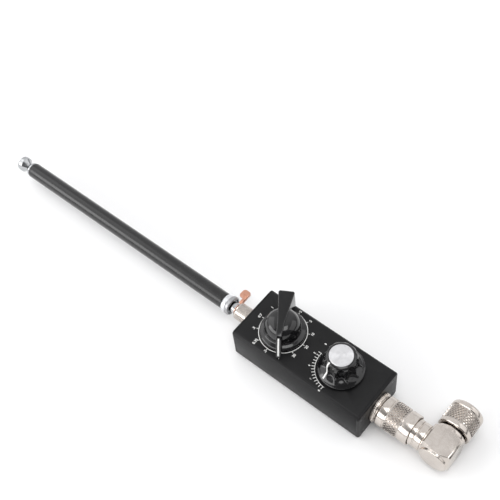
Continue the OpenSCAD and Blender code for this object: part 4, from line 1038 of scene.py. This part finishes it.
elbow = {
    "half": 8.5, "bevel": 1.0, "front": 8.4, "back": 8.8, "disc": 8.4, "turned": 11.43,
    "discEdge": (0.6, 0.4), "discThick": 1.7, "coneSlope": 0.577, "edge": 0.14,
    "core": 4.8, "nose": 6.2, "shoulder": 7.7, "neck": 6.6, "waist": 7.0, "collar": 7.2,
    "waistFrom": 10.6, "neckFrom": 13.2, "shoulderFrom": 17.3, "noseFrom": 19.2, "noseDeep": 0.9,
    "socketDeep": 6.6, "socketBead": (2.4, 2.6, 3.1, 3.3), "socketSteps": (7.1, 5.2, 1.1),
    "discFoot": 10.3, "waistStep": 8.1, "bead": 0.4, "relief": 0.5, "reliefFrom": (0.8, 0.6),
    "buried": 2.0, "radioSoft": 0.16, "socketSoft": 0.14,
}
elbowLow, elbowHigh = edges("elbow_body")
half, flat = elbow["half"], elbow["half"] - elbow["bevel"]
front, back = -elbow["front"], elbow["back"]
disc, turned = elbow["disc"], elbow["turned"]
core, nose, shoulder, neck = elbow["core"], elbow["nose"], elbow["shoulder"], elbow["neck"]
corners = [(half, flat), (flat, half), (-flat, half), (-half, flat),
           (-half, -flat), (-flat, -half), (flat, -half), (half, -flat)]
block = loft("elbowBlock", [[(x, y, z) for x, z in corners] for y in (front, back)], nickelAlongY)
cone = (turned - disc) * elbow["coneSlope"]
discEnd = front + elbow["discThick"]
cut(block, lathe("turning", [
    (0, front), (disc - elbow["discEdge"][0], front), (disc, front + elbow["discEdge"][1]),
    (disc, discEnd), (turned, discEnd + cone), (turned, back - cone), (disc, back), (0, back)],
    "Y", material=nickelAlongY, segments=120), "INTERSECT")
addBevel(block, elbow["edge"], 3, 18)

waist, collar, inset = elbow["waist"], elbow["collar"], back - 0.3
noseTip, noseFloor = elbowHigh.y, elbowHigh.y - elbow["noseDeep"]
radioArm = lathe("radioArm", softCorners([
    (0, 0), (collar, 0), (collar, inset), (disc, inset), (disc, elbow["discFoot"]),
    (elbow["waistStep"], elbow["waistFrom"]), (waist, elbow["waistFrom"]),
    (waist, elbow["neckFrom"]), (neck, elbow["neckFrom"]),
    (neck, elbow["shoulderFrom"]), (shoulder, elbow["shoulderFrom"]),
    (shoulder, elbow["noseFrom"]), (nose, elbow["noseFrom"]), (nose, noseTip), (core, noseTip),
    (core, noseFloor), (0, noseFloor)], elbow["radioSoft"]), "Y", material=nickelAlongY)
nutEnd = edges("coupling_nut_socket")[1].x
stepOne, stepTwo, stepThree = (nutEnd - s for s in elbow["socketSteps"])
beadOne, beadTwo, beadThree, beadFour = (nutEnd + s for s in elbow["socketBead"])
armEnd, tipX = elbowX - half, elbowLow.x
tipFloor = tipX + elbow["socketDeep"]
beadFloor, reliefFloor = shoulder - elbow["bead"], shoulder - elbow["relief"]
reliefFrom, reliefTo = (armEnd - s for s in elbow["reliefFrom"])
socketArm = lathe("socketArm", softCorners([
    (0, tipFloor), (core, tipFloor), (core, tipX), (nose, tipX), (nose, stepOne),
    (shoulder, stepOne), (shoulder, stepTwo), (neck, stepTwo), (neck, stepThree),
    (shoulder, stepThree), (shoulder, beadOne), (beadFloor, beadTwo), (beadFloor, beadThree),
    (shoulder, beadFour), (shoulder, reliefFrom), (reliefFloor, reliefTo),
    (reliefFloor, armEnd + elbow["buried"]), (0, armEnd + elbow["buried"])],
    elbow["socketSoft"]), "X", material=nickelAlongX)
for arm, place in ((block, radioAxis), (radioArm, radioAxis), (socketArm, lineAxis)):
    arm.data.transform(Matrix.Translation(Vector(place) * mm))
elbowPiece = joined("elbowBody", [block, radioArm, socketArm])
finish(elbowPiece, chassis, "nickel", "elbow_body")

plug = {    # the two profiles are (radius, distance back from the tip)
    "pin": 2.0, "sleeve": (2.05, 4.75),
    "pinTip": [(2.0, 1.3), (1.93, 0.9), (1.7, 0.45), (1.25, 0.12), (0.75, 0.0), (0, 0.12)],
    "ridge": [(3.3, 0.0), (3.1, 0.35), (2.7, 0.35), (2.5, 0.0)],
}
low, high = edges("elbow_outer_pin")
radioPin = lathe("radioPin", [(0, low.y), (plug["pin"], low.y)]
                 + [(radius, high.y - down) for radius, down in plug["pinTip"]],
                 "Y", radioAxis, brassPin, 64, sharpAngle=40)
finish(radioPin, chassis, "brass", "elbow_outer_pin")
low, high = edges("elbow_outer_insulator")
inner, outer = plug["sleeve"]
radioInsulator = lathe("radioInsulator", softCorners(
    [(inner, low.y), (outer, low.y), (outer, high.y)]
    + [(radius, high.y - down) for radius, down in plug["ridge"]] + [(inner, high.y)], 0.08, True),
    "Y", radioAxis, dielectricWhite, 96, closed=True)
finish(radioInsulator, chassis, "white_plastic", "elbow_outer_insulator")
print("plug done")


# Antenna base: grooved boss, solder lug, washer, cupped nut and collar

base = {
    "studBore": 2.55, "boss": 5.2, "groovePitch": 0.62, "grooveDeep": 0.13, "groovesInset": 0.9,
    "grooveMarks": (0.26, 0.34, 0.5), "cupFloor": 5.0, "slack": 0.05,
    "bossFoot": 2.9, "washer": 3.3, "cupBack": 4.9, "cupStep": 5.4, "cupFront": 5.5,
    "collarBack": 5.2, "collar": 5.6, "tubeSeat": 4.18, "collarWall": 2.6,
}
stud, boss = base["studBore"], base["boss"]
bossLow, bossHigh = edges("antenna_boss")
lugLow, lugHigh = edges("antenna_lug")
washerLow, washerHigh = edges("antenna_washer")
nutLow, nutHigh = edges("whip_base_nut")
collarFoot = edges("whip_collar")[0].x
sleeveLow, sleeveHigh = edges("whip_sleeve")
plateFace = edges("end_plate_antenna")[0].x
bossTip = bossLow.x
grooves = []
ridge, slope, groove = base["grooveMarks"]
s = plateFace - base["groovesInset"]
while s > bossTip + base["groovesInset"]:
    grooves += [(boss, s), (boss, s - ridge), (boss - base["grooveDeep"], s - slope),
                (boss - base["grooveDeep"], s - groove)]
    s -= base["groovePitch"]
antennaBoss = lathe("antennaBoss", [
    (0, bossHigh.x), (base["bossFoot"], bossHigh.x), (base["bossFoot"], plateFace + 0.2),
    (boss - 0.2, plateFace - 0.05), (boss, plateFace - 0.4)] + grooves + [
    (boss, bossTip + 0.6), (boss - 0.5, bossTip), (0, bossTip)],
    "X", lineAxis, nickelAlongX, 112, sharpAngle=25)
finish(antennaBoss, chassis, "nickel", "antenna_boss")

lug = {"ring": 3.4, "corner": 2.0, "leafFrom": 6.4, "leafTop": 3.4, "leafLow": 2.6, "armFrom": 2.8,
       "armLow": 1.0, "armEnd": 11.6, "neckEnd": 7.4, "neckOut": 0.8, "leafEdge": 1.0}
lugBack = washerHigh.x
lugRing = lathe("lugRing", softCorners([
    (stud, lugBack), (lug["ring"], lugBack), (lug["ring"], bossTip), (stud, bossTip)], 0.12, True),
    "X", lineAxis, copperTongue, 96, closed=True)
leafLow, leafHigh = lineHeight + lug["leafLow"], lineHeight + lug["leafTop"]
corner, far = lug["corner"], lugHigh.y
outline = [(lugHigh.x, lug["leafFrom"]), (lugHigh.x, lug["armEnd"]),
           (lugHigh.x - lug["leafEdge"], far)]
outline += [(lugLow.x + corner - corner * b, far - corner + corner * a) for a, b in quarterTurn(8)]
outline += [(lugLow.x + corner - corner * a, lug["leafFrom"] + corner - corner * b)
            for a, b in quarterTurn(8)]
leaf = loft("lugLeaf", [[(x, y, z) for x, y in outline] for z in (leafLow, leafHigh)], copperTongue)
addBevel(leaf, 0.15, 3, 30)
lugArm = boxObject("lugArm", (lugBack + 0.02, lug["armFrom"], lineHeight + lug["armLow"]),
                   (bossTip - 0.02, lug["armEnd"], leafHigh - 0.02), copperTongue, 0.12)
lugNeck = boxObject("lugNeck", (lugBack - lug["neckOut"], lug["armFrom"], leafLow + 0.01),
                    (bossTip - 0.03, lug["neckEnd"], leafHigh - 0.01), copperTongue, 0.15)
finish(joined("solderLug", [lugRing, leaf, lugArm, lugNeck]), chassis, "copper", "antenna_lug")

washer = lathe("antennaWasher", tube(base["washer"], stud, washerLow.x, washerHigh.x, 0.2),
               "X", lineAxis, chromeTube, 96, closed=True)
finish(washer, chassis, "steel", "antenna_washer")

radius = (nutHigh.y - nutLow.y) / 2
cupNut = lathe("whipBaseNut", softCorners([
    (stud, washerLow.x), (base["cupBack"], washerLow.x), (base["cupBack"], nutHigh.x),
    (base["cupStep"], nutHigh.x), (radius, nutHigh.x - 0.5), (radius, nutLow.x + 0.5),
    (base["cupFront"], nutLow.x), (stud, nutLow.x)], 0.12, True),
    "X", lineAxis, cupGrey, 96, closed=True)
cupNut.data.materials.append(chromeTube)
for face in cupNut.data.polygons:    # the cup's floor is bright
    spot = face.center / mm
    out = math.hypot(spot.y, spot.z - lineHeight)
    if out < base["cupFloor"] and spot.x > washerLow.x - base["slack"]:
        face.material_index = 1
finish(cupNut, chassis, "steel", "whip_base_nut")

sleeveOuter = (sleeveHigh.y - sleeveLow.y) / 2
collar, seat, sleeveEnd = base["collar"], base["tubeSeat"], sleeveHigh.x
collarWall = sleeveEnd - base["collarWall"]
whipCollar = lathe("whipCollar", softCorners([
    (stud, nutLow.x), (base["collarBack"], nutLow.x), (collar, nutLow.x - 0.4),
    (collar, sleeveEnd + 1.0), (sleeveOuter + 0.1, sleeveEnd), (seat, sleeveEnd),
    (seat, collarFoot), (0, collarFoot), (0, collarWall), (stud, collarWall)], 0.1),
    "X", lineAxis, zincCollar, 96)
finish(whipCollar, chassis, "whip_chrome", "whip_collar")
print("antenna base done")


# Whip: a shrunk sleeve over the first tube, five sliding tubes and the tip rod

whip = {
    "sleeveBore": 4.52, "sleeveRings": 150, "waverDeep": 0.06, "waverScale": 45.0,
    "guideStep": 0.15, "guide": 3.0, "wall": 0.3, "mouthStep": 0.45, "mouth": 2.5,
    "crimp": [(0.0, 0.75), (0.03, 0.55), (0.03, 0.42), (0.0, 0.3), (0.06, 0.1), (0.18, 0.0)],
    "tip": 7.8, "tipNeck": 2.8, "tipRound": 1.8, "tipFoot": 2.3, "neck": 2.1, "rod": 1.5,
    "rodGuide": 1.65,
}
bore, steps = whip["sleeveBore"], whip["sleeveRings"]
length = sleeveHigh.x - sleeveLow.x - 1.4
sleeveLine = [(bore, sleeveHigh.x), (sleeveOuter - 0.25, sleeveHigh.x),
              (sleeveOuter - 0.08, sleeveHigh.x - 0.15), (sleeveOuter, sleeveHigh.x - 0.6)]
sleeveLine += [(sleeveOuter, sleeveHigh.x - 0.6 - length * k / steps) for k in range(1, steps)]
sleeveLine += [(sleeveOuter, sleeveLow.x + 0.8), (sleeveOuter - 0.08, sleeveLow.x + 0.3),
               (sleeveOuter - 0.25, sleeveLow.x), (bore, sleeveLow.x)]
sleeve = lathe("whipSleeve", sleeveLine, "X", lineAxis, sleeveBlack, 96, closed=True, sharpAngle=50)
runTree(sleeve, waverTree, 50, depth=whip["waverDeep"] * mm, scale=whip["waverScale"],
        finish=sleeveBlack)
finish(sleeve, chassis, "shrink_black", "whip_sleeve")

for number in range(1, 7):
    node = "whip_tube_%d" % number
    low, high = edges(node)
    foot, top, guide = high.x, low.x, (high.y - low.y) / 2
    radius = guide if number == 1 else guide - whip["guideStep"]
    bore, mouth = radius - whip["wall"], radius - whip["mouthStep"]
    profile = [(bore, foot), (guide - 0.05, foot), (guide, foot - 0.08)]
    if number > 1:    # a guide ring at the foot, which slides in the tube outside it
        profile += [(guide, foot - whip["guide"]), (radius, foot - whip["guide"] - 0.1)]
    profile += [(radius - inwards, top + down) for inwards, down in whip["crimp"]]
    profile += [(mouth + 0.06, top), (mouth, top + 0.06), (mouth, top + whip["mouth"]),
                (bore, top + whip["mouth"])]
    section = lathe("whipTube%d" % number, profile, "X", lineAxis, chromeTube, 72,
                    closed=True, sharpAngle=30)
    finish(section, chassis if number == 1 else "section_%d" % number, "whip_chrome", node)

low, high = edges("whip_rod")
end, foot, radius = low.x, high.x, (high.y - low.y) / 2
start, guide, rod, rounding = end + whip["tip"], whip["rodGuide"], whip["rod"], whip["tipRound"]
shoulder = start - whip["tipNeck"]
button = [(whip["tipFoot"], start), (radius - 0.45, shoulder), (radius - 0.08, shoulder - 0.3),
          (radius, shoulder - 0.6), (radius, end + rounding)]
button += [(radius * level, end + rounding - rounding * rise)
           for level, rise in quarterTurn(12)[1:-1]] + [(0, end)]
whipTip = lathe("whipTip", [
    (0, foot), (guide - 0.05, foot), (guide, foot - 0.08), (guide, foot - whip["guide"]),
    (rod, foot - whip["guide"] - 0.1), (rod, start), (whip["neck"], start)] + button,
    "X", lineAxis, chromeTube, 80, sharpAngle=34)
finish(whipTip, "section_7", "whip_chrome", "whip_rod")
print("whip done")


# Parts that the case hides keep their CAD shapes and get their own finishes

hidden = {
    "switch_housing": switchBrown, "switch_washer": screwSteel, "switch_nut": nickelAlongX,
    "switch_shaft": brassInside, "switch_rotor": dielectricWhite, "switch_terminals": silverPlate,
    "switch_detent": screwSteel, "band_set_screw": screwSteel, "tuning_set_screw": screwSteel,
    "capacitor_housing": dielectricWhite, "capacitor_screws": screwSteel,
    "capacitor_shaft": brassInside, "capacitor_rotor": silverPlate,
    "capacitor_stator": silverPlate, "capacitor_wiper": copperTongue,
    "circuit_board": boardGreen, "board_posts": brassInside, "board_screws": screwSteel,
    "toroid_core": coreYellow, "toroid_winding": copperWire, "disc_capacitors": ceramicOrange,
    "axial_coils": boardGreen, "hookup_wires": wireOrange, "socket_insulator": dielectricWhite,
    "socket_contact": brassPin, "elbow_inner_insulator": dielectricWhite,
    "elbow_inner_pin": brassPin, "antenna_bushing": switchBrown,
    "antenna_back_nut": nickelAlongX, "antenna_stud": screwSteel,
}
for node, material in hidden.items():
    part = nodes[node]
    for slot in part.material_slots:
        slot.material = material
    if not part.material_slots:
        part.data.materials.append(material)
print("hidden parts done")


# Stage: pale floor, soft lights and the camera

stageValues = {
    "floor": 8.0, "floorDrop": 0.05, "floorColour": (0.94, 0.94, 0.94), "world": 1.0,
    "brightWall": (-0.60, 0.57, 0.56),    # the way to the bright side of the room
    "room": [(0.0, (0.16, 0.16, 0.16)), (0.45, (0.22, 0.22, 0.225)),
             (0.70, (0.42, 0.42, 0.43)), (0.92, (0.95, 0.95, 0.96))],
    "lens": 69.15, "cameraAt": (0.16445, -0.19178, 0.49343),
    "cameraRight": (0.76434, 0.63978, -0.08043), "cameraUp": (-0.49483, 0.66194, 0.56301),
    "cameraBack": (0.41344, -0.39053, 0.82253),
}
softLights = {    # place, aim, width, height and power
    "overhead": ((0.25, -0.2, 1.3), (0, 0, 0), 0.8, 0.8, 6.0),
    "leftBox": ((-0.95, -0.35, 0.75), (-0.05, 0, 0), 1.3, 1.1, 4.2),
    "rightBox": ((0.85, 0.65, 0.75), (0, 0, 0), 1.3, 1.1, 4.0),
    "frontBox": ((-0.42, -0.95, 0.44), (0, 0, 0.01), 1.3, 0.6, 8.0),
}
floorMaterial = newSurface("floorPale", {
    "Roughness": 0.7, "Base Color": (*stageValues["floorColour"], 1)})[0]
size, drop = stageValues["floor"] / mm / 2, -stageValues["floorDrop"]
floor = meshObject("floor", [(-size, -size, drop), (size, -size, drop), (size, size, drop),
                             (-size, size, drop)], [(0, 1, 2, 3)], floorMaterial)

for name, (place, aim, wide, tall, power) in softLights.items():
    lamp = bpy.data.lights.new(name, "AREA")
    lamp.shape = "RECTANGLE"
    lamp.size, lamp.size_y = wide, tall
    lamp.energy = power
    holder = placed(name, lamp)
    holder.location = place
    holder.rotation_mode = "QUATERNION"
    holder.rotation_quaternion = (Vector(aim) - Vector(place)).to_track_quat("-Z", "Y")

world = bpy.data.worlds.new("studio")
world.use_nodes = True
sky = world.node_tree
lookAt = put(sky, "ShaderNodeTexCoord").outputs["Generated"]
facing = put(sky, "ShaderNodeVectorMath", {0: lookAt, 1: stageValues["brightWall"]},
             operation="DOT_PRODUCT").outputs["Value"]
roomTone = colours(sky, between(sky, facing, 0.0, 1.0, -1.0, 1.0), stageValues["room"])
sky.links.new(roomTone, sky.nodes["Background"].inputs["Color"])
sky.nodes["Background"].inputs["Strength"].default_value = stageValues["world"]
bpy.context.scene.world = world
bpy.context.scene.view_settings.view_transform = "Standard"

lens = bpy.data.cameras.new("camera")
lens.lens = stageValues["lens"]
lens.sensor_width = 36
lens.clip_start, lens.clip_end = 0.02, 20
camera = placed("camera", lens)
turned = Matrix([stageValues[key] for key in ("cameraRight", "cameraUp", "cameraBack")])
camera.matrix_world = Matrix.Translation(stageValues["cameraAt"]) @ turned.transposed().to_4x4()
bpy.context.scene.camera = camera

print("stage done")
